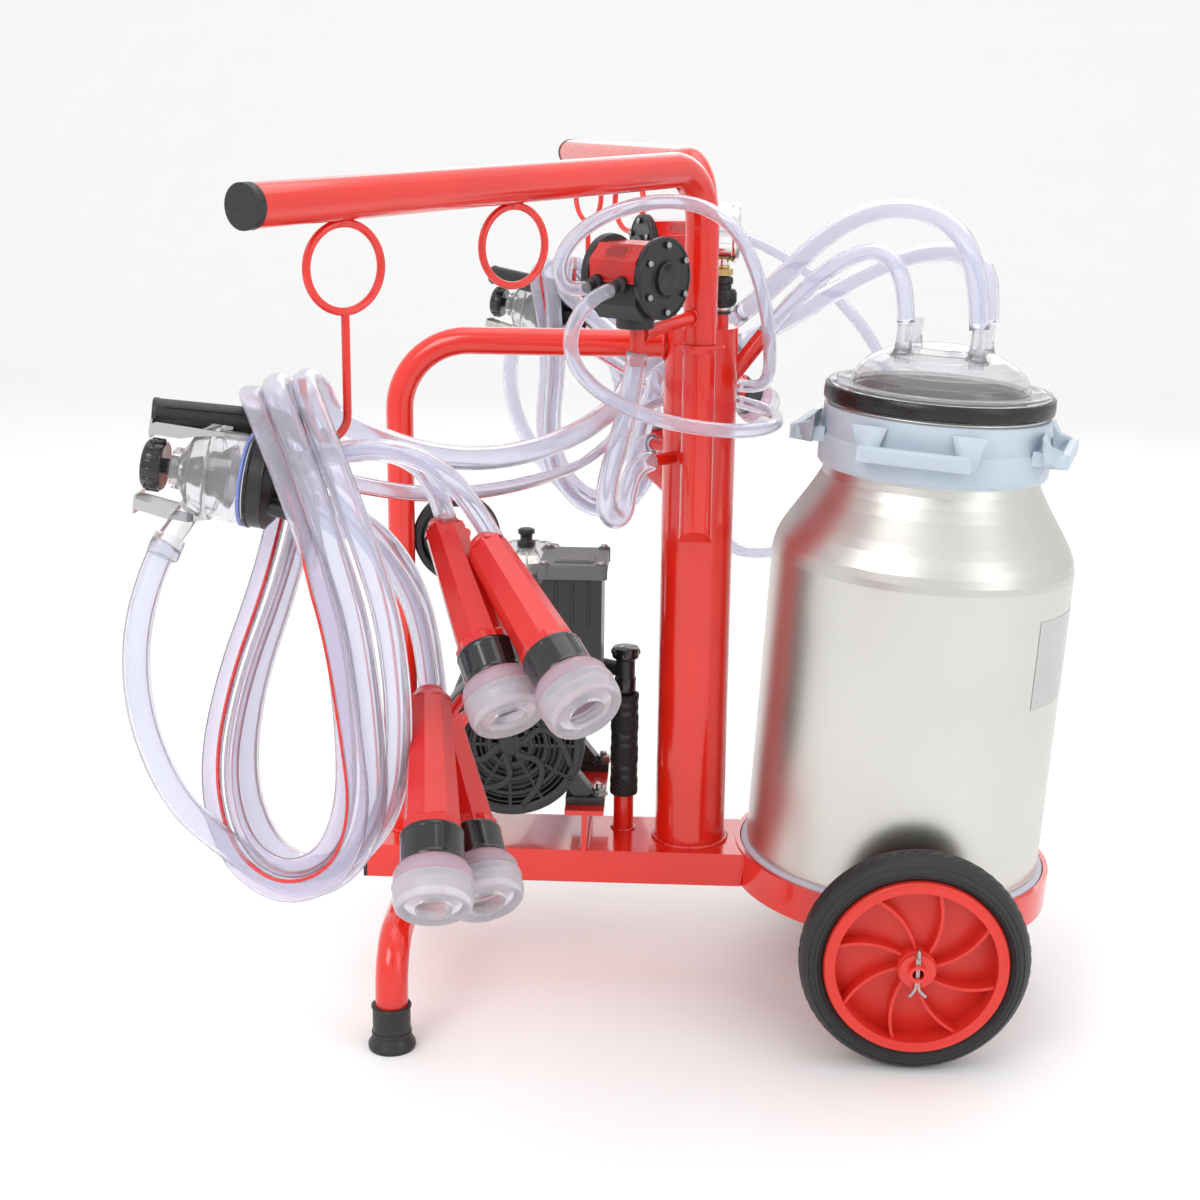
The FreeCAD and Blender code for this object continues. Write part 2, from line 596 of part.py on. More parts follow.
def teat_liners():
    """Liner barrel inside the shell and its flared mouthpiece."""
    liners = []
    for cup in CUPS:
        top, axis = cup_frame(cup)
        liners.append(turned([(10.5, 30), (12.3, 30), (12.3, CUP_SHELL), (15.9, CUP_SHELL + 4),
                              (15.9, CUP_SLEEVE + 0.1), (24, CUP_SLEEVE + 0.1), (27.5, CUP_SLEEVE + 6),
                              (27.5, CUP_LENGTH - 10), (24.5, CUP_LENGTH), (13, CUP_LENGTH),
                              (13, CUP_LENGTH - 4), (20, CUP_LENGTH - 8), (20, CUP_SLEEVE + 6),
                              (10.5, CUP_SLEEVE - 2)], top, axis))
    return liners


def short_tubes():
    """Short milk tubes from the claw's nipples to the cups."""
    tubes = []
    for number, cup in enumerate(CUPS):
        top, axis = cup_frame(cup)
        route = list(cup[2]) + [tuple(top - axis * 8)]
        tubes.append(hose("short tube %d" % number, route, SHORT_MILK_R))
    return tubes


# ---------------------------------------------------------------- vacuum pump
def motor_body():
    """Motor and crankcase with its terminal box seat and three mounting feet."""
    front, back = FAN.y + 24, FAN.y + 24 + MOTOR_LENGTH
    barrel = rod(V(FAN.x, front, FAN.z), V(FAN.x, back, FAN.z), MOTOR_R)
    crank = rod(V(FAN.x, back, FAN.z), V(FAN.x, back + 42, FAN.z), 54)
    cylinder = rod(V(FAN.x, back + 20, FAN.z + 40), V(FAN.x, back + 20, FAN.z + 112), 33, 24)
    feet = []
    for x, y in ((-255, front + 31), (-108, front + 31), (-255, back - 18), (-108, back - 18)):
        feet.append(box((x - 20, y - 13, BEAM_TOP + 45.2), (x + 20, y + 13, BEAM_TOP + 53)))
        lean = box((x - 9, y - 9, BEAM_TOP + 52), (x + 9, y + 9, FAN.z - 20))
        lean.rotate(V(x, y, BEAM_TOP + 53), Y, 38 if x < FAN.x else -38)
        lean = lean.cut(box((x - 60, y - 20, BEAM_TOP), (x + 60, y + 20, BEAM_TOP + 46)))
        feet.append(lean)
    cavity = rod(V(FAN.x, back + 8, FAN.z), V(FAN.x, back + 38, FAN.z), 30)
    rotor_space = rod(V(FAN.x, front - 1, FAN.z), V(FAN.x, back + 20, FAN.z), 30)
    crank_way = rod(V(FAN.x, back + 20, FAN.z), V(FAN.x, back + 20, FAN.z + 100), 24)
    return fuse(barrel, crank, cylinder, *feet).cut(cavity).cut(rotor_space).cut(crank_way)


def fan_cover():
    """Round cover with a ring-and-spoke grille."""
    outer = rod(V(FAN.x, FAN.y, FAN.z), V(FAN.x, FAN.y + 40, FAN.z), 74)
    hollow = rod(V(FAN.x, FAN.y + 4, FAN.z), V(FAN.x, FAN.y + 41, FAN.z), MOTOR_R + 0.2)
    face_hole = rod(V(FAN.x, FAN.y - 1, FAN.z), V(FAN.x, FAN.y + 5, FAN.z), 64)
    cover = outer.cut(hollow).cut(face_hole)
    rings = [rod(V(FAN.x, FAN.y, FAN.z), V(FAN.x, FAN.y + 4, FAN.z), radius + 3, radius) for radius in (20, 35, 50)]
    hub = rod(V(FAN.x, FAN.y, FAN.z), V(FAN.x, FAN.y + 4, FAN.z), 11)
    spokes = []
    for step in range(12):
        spoke = box((FAN.x + 9, FAN.y, FAN.z - 1.6), (FAN.x + 66, FAN.y + 4, FAN.z + 1.6))
        spoke.rotate(FAN, Y, step * 30)
        spokes.append(spoke)
    return fuse(cover, hub, *rings, *spokes)


def motor_rotor():
    """Rotor with its cooling fan and the shaft end."""
    front = FAN.y + 24
    shaft = rod(V(FAN.x, FAN.y + 8, FAN.z), V(FAN.x, front + MOTOR_LENGTH + 6, FAN.z), 7)
    core = rod(V(FAN.x, front + 4, FAN.z), V(FAN.x, front + MOTOR_LENGTH - 12, FAN.z), 29.6)
    boss = rod(V(FAN.x, FAN.y + 8, FAN.z), V(FAN.x, FAN.y + 22, FAN.z), 16)
    blades = []
    for step in range(7):
        blade = box((FAN.x + 12, FAN.y + 8, FAN.z - 1.2), (FAN.x + 58, FAN.y + 21, FAN.z + 1.2))
        blade.rotate(FAN, Y, step * 360.0 / 7)
        blades.append(blade)
    return fuse(shaft, core, boss, *blades)


def pump_head():
    """Domed aluminium head with a top plug, a flange rib and two ports."""
    y, z = FAN.y + 24 + MOTOR_LENGTH + 20, FAN.z + 112.1
    dome = turned([(0, 0), (46, 0), (46, 26), (43, 36), (35, 43), (20, 46), (0, 46)], V(FAN.x, y, z))
    rib = rod(V(FAN.x, y, z + 4), V(FAN.x, y, z + 9), 51)
    plug = rod(V(FAN.x, y, z + 40), V(FAN.x, y, z + 54), 6)
    inlet = rod(V(FAN.x + 30, y - 12, z + 20), V(FAN.x + 62, y - 12, z + 20), 9)
    outlet = rod(V(FAN.x - 30, y, z + 20), V(FAN.x - 58, y, z + 20), 9)
    return fuse(dome, rib, plug, inlet, outlet)


def junction_box():
    low, high = (-150, -66, FAN.z + MOTOR_R - 6), (-92, 10, 448)
    body = box(low, high)
    seat = rod(V(FAN.x, FAN.y - 10, FAN.z), V(FAN.x, FAN.y + 230, FAN.z), MOTOR_R + 6.2)
    relief = cone(V(-149, -28, 425), V(-178, -28, 428.9), 8, 5)
    return fuse(body.cut(seat), relief)


def junction_lid():
    return box((-153, -69, 448.1), (-89, 13, 460))


def motor_brackets():
    """Upright plates across the beam that carry the motor."""
    plates = []
    for x in (-255, -108):
        plates.append(box((x - 20, -54, BEAM_TOP + 40), (x + 20, 88, BEAM_TOP + 45)))
        plates.append(box((x - 2.5, -54, BEAM_TOP), (x + 2.5, 88, BEAM_TOP + 40)))
    return [fuse(*plates[:2]), fuse(*plates[2:])]


def vacuum_tee():
    """Black tee on the riser, with a capped top and a side port to the pump."""
    foot = RISER + Z * 138
    stem = rod(foot, foot + Z * 58, 10)
    cap = rod(foot + Z * 52, foot + Z * 60, 13)
    side = rod(foot + Z * 36, foot + V(-40, 22, 36), 8)
    return fuse(stem, cap, side)


def riser_sleeve():
    """Ribbed rubber sleeve that joins the red stub to the tee."""
    sleeve = rod(RISER + Z * 40, RISER + Z * 148, 14)
    inner = [rod(RISER + Z * 39, RISER + Z * 48.1, 10.6), rod(RISER + Z * 137.9, RISER + Z * 149, 10.1)]
    return sleeve.cut(Part.makeCompound(inner))


# ---------------------------------------------------------------- gauge and regulator
def regulator():
    """Vacuum regulator on the post's top, with the brass fitting to the gauge."""
    foot = V(GAUGE.x, GAUGE.y, POST_TOP + 12.1)
    return fuse(rod(foot, foot + Z * 36, 9), rod(foot + Z * 8, foot + Z * 24, 12.5),
                rod(foot + Z * 36, GAUGE - Z * 27.2, 5))


def gauge_body():
    case = rod(GAUGE + V(-16, 0, 0), GAUGE + V(14, 0, 0), 27)
    dial_space = rod(GAUGE + V(6, 0, 0), GAUGE + V(15, 0, 0), 24)
    pin = rod(GAUGE + V(5, 0, 0), GAUGE + V(11, 0, 0), 1.5)
    socket = rod(GAUGE - Z * 26, GAUGE - Z * 34, 6)
    return fuse(case.cut(dial_space), pin, socket.cut(rod(GAUGE - Z * 60, GAUGE - Z * 26, 5.1)))


def gauge_needle():
    hub = rod(GAUGE + V(8, 0, 0), GAUGE + V(10, 0, 0), 3.5)
    pointer = box((GAUGE.x + 8.4, GAUGE.y - 0.9, GAUGE.z - 6), (GAUGE.x + 9.4, GAUGE.y + 0.9, GAUGE.z + 18))
    needle = fuse(hub, pointer).cut(rod(GAUGE, GAUGE + V(14, 0, 0), 1.55))
    needle.rotate(GAUGE, X, 135)
    return needle


# ---------------------------------------------------------------- hoses
MILK_DROP = ((-390, -541, 588), (-401, -555, 560), (-407, -571, 520), (-402, -586, 478), (-386, -599, 438),
             (-366, -606, 408), (-342, -605, 386))
COIL_LOOP = ((-240, -586, 540), (-231, -596, 470), (-231, -606, 412), (-252, -611, 370), (-290, -608, 356),
             (-326, -592, 374), (-345, -564, 420), (-340, -530, 480), (-320, -492, 545), (-306, -456, 610),
             (-304, -442, 660), (-312, -456, 694), (-316, -492, 706), (-300, -534, 694), (-274, -566, 644),
             (-254, -579, 588))
MILK_RUN = ((-286, -440, 668), (-262, -426, 652), (-226, -388, 630), (-184, -334, 615), (-144, -264, 610),
            (-112, -190, 612), (-92, -120, 616), (-78, -55, 620), (-72, 8, 626), (-62, 62, 636),
            (-30, 94, 654), (22, 95.3, 674), (39.8, 92, 689.8))
TWIN_RUN = ((-288, -446, 622), (-262, -432, 612), (-222, -394, 598), (-178, -340, 590), (-138, -266, 586),
            (-108, -190, 584), (-92, -118, 586), (-80, -52, 588), (-76, 10, 590), (-66, 66, 594),
            (-34, 98, 600), (6, 96, 608), (36, 76, 612))
PULSE_A = ((-105, -179, 741), (-115, -192, 740), (-125, -204, 749), (-126, -208, 768), (-113, -207, 789),
           (-84, -198, 808), (-44, -182, 818), (-4, -160, 814), (28, -134, 792), (48, -106, 752),
           (60, -76, 710), (66, -34, 670), (68, 14, 636), (58, 54, 620), (38, 76, 619))
PULSE_B = ((-83, -196, 741), (-91, -207, 739), (-105, -218, 728), (-116, -226, 706), (-112, -232, 680),
           (-88, -238, 656), (-46, -236, 636), (0, -216, 624), (40, -182, 616), (66, -130, 612),
           (74, -68, 608), (72, -4, 604), (60, 46, 602), (38, 74, 603))
VACUUM_HOSE = ((-59, -144, 680), (-64, -147, 640), (-74, -151, 600), (-84, -154, 564), (-86, -148, 536),
               (-78, -128, 520), (-70, -102, 522), (-68, -80, 540), (-60, -60, 560.5), (-46.9, -46.9, 562))
CAN_HOSE = ((63, 20.4, 679.3), (84, 26, 706), (112, 25, 734), (140, 17, 755), (163, 5, 764), (183, -9, 755),
            (193.6, -21, 730), (195, -25, 697.4))
NEAR_RISER = ((40.2, 91.9, 690.2), (77.2, 85.1, 723), (115, 76, 766), (158, 50, 797), (204, 14, 804),
              (240, -18, 788), (259, -38, 748), (262.9, -43.3, 693.7))
MILK_RUN_FAR = ((-167, 507, 668), (-144, 476, 652), (-110, 414, 632), (-74, 332, 618), (-38, 254, 618),
                (-4, 179.7, 625), (43.7, 158, 651.8))
TWIN_RUN_FAR = ((-167, 513, 622), (-138, 476, 606), (-100, 406, 594), (-64, 316, 588), (-38, 222, 588),
                (-20, 140, 592))
PULSE_A_FAR = ((-40, 213, 741), (-44, 224, 742), (-38, 240, 752), (-8, 252, 764), (42, 248, 758),
               (92, 240, 736), (140, 236, 702), (184, 236, 656), (212, 238, 604), (212, 230, 546),
               (184, 212, 490), (134, 186, 444), (84, 160, 422), (40, 138, 430), (12, 124, 466),
               (0, 116, 516), (-4, 118, 560), (-16, 138, 582))
PULSE_B_FAR = ((-66, 203, 741), (-71, 215, 739), (-84, 226, 724), (-88, 228, 698), (-78, 222, 666),
               (-54, 206, 634), (-30, 176, 612), (-16, 144, 602))
VACUUM_HOSE_FAR = ((-32, 157, 680), (-38, 160, 640), (-48, 162, 600), (-58, 160, 565), (-66, 148, 538),
                   (-66, 124, 522), (-64, 98, 524), (-65, 78, 541), (-60, 60, 560.5), (-46.9, 46.9, 562))
FAR_RISER = ((44.2, 157.8, 652.1), (90.3, 136.7, 678.1), (146, 146, 714), (200, 142, 742), (246, 114, 756),
             (273, 72, 750), (280, 44, 738), (281.5, 28, 716), (281.1, 25, 693.4))


def closed_ring(route, radius):
    """The outer shape of a hank of hose: one loop whose ends stand 0.4 mm apart."""
    points = [V(*point) for point in route]
    start, ahead = (points[0] + points[-1]) * 0.5, (points[0] - points[-1]).normalize()
    loop = [start + ahead * 0.2] + points + [start - ahead * 0.2]
    return swept(rounded_path(loop, cord_radii(loop)), loop[0], ahead, radius)


POWER_CORD = ((-150, -28, 425), (-172, -28, 428), (-200, -22, 432), (-226, -9, 430), (-246, 2, 425))
CORD_R, CORD_COIL = 3.5, V(-243, 12, 470)


def power_cord():
    """Mains cord from the junction box, its tied coil beside the front tube, and the plug."""
    coil = Part.makeTorus(35, 9, CORD_COIL, Y)
    tie = Part.makeTorus(15, 1.2, V(FRONT_X, 0, CORD_COIL.z), Z)
    plug = rod(CORD_COIL + V(37, 4, -42), CORD_COIL + V(43, 14, -78), 11)
    return [hose("power cord", POWER_CORD, CORD_R).cut(coil), coil, tie.cut(coil), plug.cut(coil)]


for name, solid in (("base_beam", base_beam()), ("front_tube", front_tube()),
                    ("leg_arch", leg_arch()), ("vacuum_post", vacuum_post()),
                    ("can_ring", can_ring()), ("can_body", can_body()), ("lid_gasket", lid_gasket()),
                    ("can_lid", can_lid()), ("motor_body", motor_body()), ("fan_cover", fan_cover()),
                    ("motor_rotor", motor_rotor()), ("pump_head", pump_head()), ("regulator", regulator()),
                    ("gauge_body", gauge_body()), ("gauge_needle", gauge_needle())):
    save(name, solid)

save("end_caps", beam_plug(), *leg_boots())
save("can_plastic", can_base_ring(), can_collar())
save("junction_box", junction_box(), junction_lid())
save("riser", vacuum_tee(), riser_sleeve())
save("power_cord", *power_cord())
save("arm_sockets", *arm_sockets())
save("motor_brackets", *motor_brackets())
save("axle", axle(), *axle_washers(), cotter(-1), cotter(1))
for side, word in ((-1, "near"), (1, "far")):
    save("tyre_" + word, tyre(side))
    save("rim_" + word, rim(side))

save_both("arm", arm())
save_both("arm_cap", arm_cap())
save_both("pulsator_upper", pulsator_upper())
save_both("pulsator_lower", pulsator_lower(), *pulsator_screws())
save_both("claw_body", claw_body())
save_both("claw_bowl", claw_bowl())
save_both("claw_valve", claw_valve())
save_both("teat_shells", *teat_shells())
save_both("teat_sleeves", *teat_sleeves())
save_both("teat_liners", *teat_liners())
save_both("short_tubes", *short_tubes())

save("can_hose", hose("can hose", CAN_HOSE, 8.5))
save("milk_riser_near", hose("near riser", NEAR_RISER, MILK_R))
save("milk_riser_far", hose("far riser", FAR_RISER, MILK_R))
save_both("hose_coil", closed_ring(COIL_LOOP, 18))
drop = hose("milk drop", MILK_DROP, MILK_R)
save("milk_hose_near", drop, hose("milk run", MILK_RUN, MILK_R))
save("milk_hose_far", far(drop), hose("far milk run", MILK_RUN_FAR, MILK_R))
save("pulse_hose_near", hose("pulse a", PULSE_A, PULSE_R), hose("pulse b", PULSE_B, PULSE_R),
     hose("twin run", TWIN_RUN, TWIN_R))
save("pulse_hose_far", hose("far pulse a", PULSE_A_FAR, PULSE_R), hose("far pulse b", PULSE_B_FAR, PULSE_R),
     hose("far twin run", TWIN_RUN_FAR, TWIN_R))
save("vacuum_hose_near", hose("vacuum hose", VACUUM_HOSE, MILK_R))
save("vacuum_hose_far", hose("far vacuum hose", VACUUM_HOSE_FAR, MILK_R))
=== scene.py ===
import math

import bmesh
import bpy
from mathutils import Matrix, Quaternion, Vector


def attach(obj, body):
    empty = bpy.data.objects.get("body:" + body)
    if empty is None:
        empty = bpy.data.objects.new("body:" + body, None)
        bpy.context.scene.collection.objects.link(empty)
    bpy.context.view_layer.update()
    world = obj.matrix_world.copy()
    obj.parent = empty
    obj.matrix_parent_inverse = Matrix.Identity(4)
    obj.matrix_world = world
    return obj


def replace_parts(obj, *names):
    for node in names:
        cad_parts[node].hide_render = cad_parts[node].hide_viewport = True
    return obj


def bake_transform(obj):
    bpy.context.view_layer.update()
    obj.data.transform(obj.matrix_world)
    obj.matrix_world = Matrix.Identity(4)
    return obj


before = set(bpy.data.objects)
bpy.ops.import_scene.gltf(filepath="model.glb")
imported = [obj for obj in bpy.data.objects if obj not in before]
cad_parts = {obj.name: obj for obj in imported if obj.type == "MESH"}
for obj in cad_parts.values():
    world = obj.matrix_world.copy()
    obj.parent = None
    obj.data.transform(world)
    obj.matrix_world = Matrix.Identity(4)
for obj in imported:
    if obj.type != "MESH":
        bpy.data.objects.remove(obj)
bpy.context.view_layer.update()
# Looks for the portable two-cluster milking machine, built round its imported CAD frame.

ORIGIN = Vector((-15.65, 12.61, 0))


def at(x, y, z):
    """A place measured in millimetres from the post's foot, as metres in the frame."""
    return (Vector((x, y, z)) - ORIGIN) / 1000


POST = at(0, 0, 0)
SWING = math.radians(-16)
FAR = (Matrix.Translation(at(-2, 52, 0)) @ Matrix.Rotation(SWING, 4, "Z") @ Matrix.Translation(-at(-2, 52,
    0)) @ Matrix.Translation(POST) @ Matrix.Diagonal((1, -1, 1, 1)) @ Matrix.Translation(-POST))


# ---------------------------------------------------------------- materials
def link(tree, source, target):
    tree.links.new(source, target)


def surface(name, color, rough, metal=0.0, coat=0.0, coat_rough=0.1, clear=0.0, ior=1.48, tone=0.06,
            grain=60.0, stretch=(1, 1, 1), uneven=0.08, bump=0.15, depth=0.0002, coords="Object", dust=0.0,
            anisotropic=0.0, subsurface=0.0, centre=(0, 0, 0), edge=None):
    """A procedural finish: colour that drifts, roughness that varies with the grain, and a fine bump."""
    made = bpy.data.materials.new(name)
    made.use_nodes = True
    tree = made.node_tree
    nodes = tree.nodes
    shader = nodes["Principled BSDF"]
    place = nodes.new("ShaderNodeTexCoord")
    mapping = nodes.new("ShaderNodeMapping")
    mapping.inputs["Location"].default_value = centre
    mapping.inputs["Scale"].default_value = stretch
    link(tree, place.outputs[coords], mapping.inputs["Vector"])
    fine = nodes.new("ShaderNodeTexNoise")
    fine.inputs["Scale"].default_value = grain
    fine.inputs["Detail"].default_value = 6
    link(tree, mapping.outputs["Vector"], fine.inputs["Vector"])
    broad = nodes.new("ShaderNodeTexNoise")
    broad.inputs["Scale"].default_value = 7.0
    broad.inputs["Detail"].default_value = 3
    link(tree, place.outputs[coords], broad.inputs["Vector"])

    colors = nodes.new("ShaderNodeValToRGB")
    colors.color_ramp.elements[0].position = 0.3
    colors.color_ramp.elements[1].position = 0.7
    colors.color_ramp.elements[0].color = [max(0, c * (1 - tone) - 0.1 * tone * c) for c in color] + [1]
    colors.color_ramp.elements[1].color = [min(1, c * (1 + tone) + 0.02 * tone) for c in color] + [1]
    link(tree, broad.outputs["Fac"], colors.inputs["Fac"])
    last = colors.outputs["Color"]
    if dust:
        speck = nodes.new("ShaderNodeTexNoise")
        speck.inputs["Scale"].default_value = 900.0
        speck.inputs["Detail"].default_value = 8
        link(tree, place.outputs[coords], speck.inputs["Vector"])
        cut = nodes.new("ShaderNodeMapRange")
        cut.inputs["From Min"].default_value = 0.56
        cut.inputs["From Max"].default_value = 0.78
        cut.inputs["To Max"].default_value = dust
        link(tree, speck.outputs["Fac"], cut.inputs["Value"])
        mix = nodes.new("ShaderNodeMix")
        mix.data_type = "RGBA"
        link(tree, cut.outputs["Result"], mix.inputs["Factor"])
        link(tree, last, mix.inputs["A"])
        mix.inputs["B"].default_value = (0.45, 0.42, 0.38, 1)
        last = mix.outputs["Result"]
    if edge:
        wear = nodes.new("ShaderNodeNewGeometry")
        sharp = nodes.new("ShaderNodeMapRange")
        sharp.inputs["From Min"].default_value = 0.53
        sharp.inputs["From Max"].default_value = 0.62
        link(tree, wear.outputs["Pointiness"], sharp.inputs["Value"])
        mix = nodes.new("ShaderNodeMix")
        mix.data_type = "RGBA"
        link(tree, sharp.outputs["Result"], mix.inputs["Factor"])
        link(tree, last, mix.inputs["A"])
        mix.inputs["B"].default_value = tuple(edge) + (1,)
        last = mix.outputs["Result"]
    link(tree, last, shader.inputs["Base Color"])

    rub = nodes.new("ShaderNodeMapRange")
    rub.inputs["From Min"].default_value = 0.3
    rub.inputs["From Max"].default_value = 0.7
    rub.inputs["To Min"].default_value = max(0.0, rough - uneven)
    rub.inputs["To Max"].default_value = min(1.0, rough + uneven)
    link(tree, fine.outputs["Fac"], rub.inputs["Value"])
    link(tree, rub.outputs["Result"], shader.inputs["Roughness"])
    relief = nodes.new("ShaderNodeBump")
    relief.inputs["Strength"].default_value = bump
    relief.inputs["Distance"].default_value = depth
    link(tree, fine.outputs["Fac"], relief.inputs["Height"])
    link(tree, relief.outputs["Normal"], shader.inputs["Normal"])

    shader.inputs["Metallic"].default_value = metal
    shader.inputs["Coat Weight"].default_value = coat
    shader.inputs["Coat Roughness"].default_value = coat_rough
    shader.inputs["Transmission Weight"].default_value = clear
    shader.inputs["IOR"].default_value = ior
    shader.inputs["Anisotropic"].default_value = anisotropic
    if subsurface:
        shader.inputs["Subsurface Weight"].default_value = subsurface
        shader.inputs["Subsurface Scale"].default_value = 0.004
    made["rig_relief"] = relief.name
    return made


def ridges(made, direction, scale, strength, distance, coords="Object", centre=(0, 0, 0), rings=None):
    """Adds evenly spaced ridges to a finish's bump: bands along an axis, or rings round one."""
    tree = made.node_tree
    relief = tree.nodes[made["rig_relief"]]
    place = tree.nodes.new("ShaderNodeTexCoord")
    mapping = tree.nodes.new("ShaderNodeMapping")
    mapping.inputs["Location"].default_value = centre
    link(tree, place.outputs[coords], mapping.inputs["Vector"])
    wave = tree.nodes.new("ShaderNodeTexWave")
    wave.wave_type = "RINGS" if rings else "BANDS"
    if rings:
        wave.rings_direction = rings
    else:
        wave.bands_direction = direction
    wave.inputs["Scale"].default_value = scale
    wave.inputs["Distortion"].default_value = 0.0
    link(tree, mapping.outputs["Vector"], wave.inputs["Vector"])
    second = tree.nodes.new("ShaderNodeBump")
    second.inputs["Strength"].default_value = strength
    second.inputs["Distance"].default_value = distance
    link(tree, wave.outputs["Fac"], second.inputs["Height"])
    link(tree, relief.outputs["Normal"], second.inputs["Normal"])
    link(tree, second.outputs["Normal"], tree.nodes["Principled BSDF"].inputs["Normal"])
    return made


CAN_MIDDLE = at(209.6, 0, 149)
RED = surface("red_enamel", (0.74, 0.016, 0.006), 0.20, coat=0.6, coat_rough=0.05, grain=120, uneven=0.05,
    bump=0.05, depth=0.0002, tone=0.08)
RED_PLASTIC = surface("red_plastic", (0.62, 0.012, 0.009), 0.24, coat=0.3, coat_rough=0.12, grain=60,
    uneven=0.04, bump=0.02, depth=0.0001, tone=0.06)
WHEEL_RED = surface("wheel_red", (0.70, 0.026, 0.014), 0.36, coat=0.15, coat_rough=0.3, grain=260,
    uneven=0.09, bump=0.12, depth=0.00012, dust=0.10)
TYRE = surface("tyre_rubber", (0.016, 0.016, 0.017), 0.50, grain=1500, uneven=0.08, bump=0.15, depth=0.0001,
    dust=0.05)
RUBBER = surface("black_rubber", (0.016, 0.016, 0.017), 0.42, grain=240, uneven=0.12, bump=0.2, depth=0.0002,
    dust=0.12)
BLACK = surface("black_moulding", (0.017, 0.017, 0.018), 0.36, grain=420, uneven=0.08, bump=0.35,
    depth=0.0001, dust=0.05)
BLACK_GLOSS = surface("black_gloss", (0.010, 0.010, 0.011), 0.13, coat=0.4, coat_rough=0.06, grain=120,
    uneven=0.05, bump=0.08, depth=0.0001)
MOTOR = surface("motor_enamel", (0.030, 0.031, 0.033), 0.33, coat=0.2, coat_rough=0.3, grain=140,
    uneven=0.12, bump=0.3, depth=0.0003, dust=0.08)
SLEEVE = ridges(surface("woven_sleeve", (0.014, 0.014, 0.014), 0.72, grain=500, uneven=0.12, bump=0.5,
    depth=0.0004, dust=0.08), "DIAGONAL", 120, 0.9, 0.0006)
ZINC = surface("zinc", (0.42, 0.42, 0.41), 0.36, metal=1, grain=160, uneven=0.10, bump=0.06, depth=0.0001,
    tone=0.15)
STAINLESS = surface("stainless", (0.56, 0.56, 0.55), 0.16, metal=1, grain=60, stretch=(1, 1, 30),
    uneven=0.08, bump=0.02, depth=0.0001, tone=0.12)
CAST = surface("cast_aluminium", (0.66, 0.66, 0.65), 0.36, metal=1, grain=300, uneven=0.12, bump=0.4,
    depth=0.0002, tone=0.12)
CAN = surface("can_aluminium", (0.66, 0.65, 0.615), 0.33, metal=1, grain=60, stretch=(0.3, 0.3, 60),
    uneven=0.05, bump=0.03, depth=0.0002, tone=0.03, anisotropic=0.5)
CAN_PLASTIC = surface("can_plastic", (0.50, 0.58, 0.66), 0.36, grain=500, uneven=0.08, bump=0.06,
    depth=0.0001, subsurface=0.08, tone=0.03)
CAN_BASE = surface("can_base_plastic", (0.56, 0.53, 0.62), 0.38, grain=300, uneven=0.08, bump=0.12,
    depth=0.0001, subsurface=0.08, tone=0.03, dust=0.08)
CLEAR = surface("clear_plastic", (0.97, 0.975, 0.99), 0.06, clear=0.90, ior=1.40, grain=40, uneven=0.03,
    bump=0.02, depth=0.0002, tone=0.01)
HOSE = surface("clear_hose", (0.90, 0.905, 0.985), 0.10, clear=0.84, ior=1.24, grain=30, uneven=0.04,
    bump=0.02, depth=0.0002, tone=0.02)
TWIN = surface("twin_hose", (0.91, 0.885, 0.97), 0.12, clear=0.84, ior=1.24, grain=30, uneven=0.04,
    bump=0.02, depth=0.0002, tone=0.02)
STRIPE = surface("red_stripe", (0.68, 0.02, 0.02), 0.28, coat=0.3, grain=200, uneven=0.06, bump=0.08,
    depth=0.0001)
LINER = surface("frosted_liner", (0.96, 0.95, 0.985), 0.24, clear=0.80, ior=1.24, grain=25, uneven=0.05,
    bump=0.01, depth=0.0001, tone=0.015)
BAND = surface("lilac_band", (0.80, 0.42, 0.55), 0.22, clear=0.60, ior=1.25, grain=40, uneven=0.05,
    bump=0.01, depth=0.0001, tone=0.05)
CHROME = surface("chrome", (0.82, 0.82, 0.81), 0.12, metal=1, grain=90, uneven=0.07, bump=0.04, depth=0.0001)
BRASS = surface("brass", (0.66, 0.47, 0.20), 0.30, metal=1, grain=180, uneven=0.12, bump=0.15, depth=0.0001,
    tone=0.1)
WHITE = surface("dial_white", (0.86, 0.86, 0.84), 0.42, grain=300, uneven=0.05, bump=0.05, depth=0.0001,
    tone=0.02)
# Mid grey for the terminal box's lid: painted sheen. The lid is drawn lighter than the black box in place of
# the sheen that makes it look grey.
LID_PAINTED_SHEEN = surface("lid_grey_painted_sheen", (0.105, 0.108, 0.115), 0.42, grain=420, uneven=0.08, bump=0.4, depth=0.0001)
FOIL = surface("foil_label", (0.58, 0.57, 0.56), 0.38, metal=0.75, grain=200, uneven=0.08, bump=0.08,
    depth=0.0001)
CABLE = surface("cable", (0.014, 0.014, 0.015), 0.40, grain=300, uneven=0.08, bump=0.15, depth=0.0001)
GASKET = surface("gasket", (0.010, 0.010, 0.011), 0.30, grain=400, uneven=0.08, bump=0.08, depth=0.0001)
BLUE = surface("blue_mark", (0.20, 0.27, 0.72), 0.2, clear=0.45, ior=1.3, grain=40, bump=0.02)
# Near-black for the gauge's print and needle, also used as painted shade for the pulsator's vent holes and
# slits and for the claw handle's slot.
INK_AND_SHADE_BLACK = surface("dial_ink_and_painted_shade_black", (0.02, 0.02, 0.02), 0.5, grain=200)

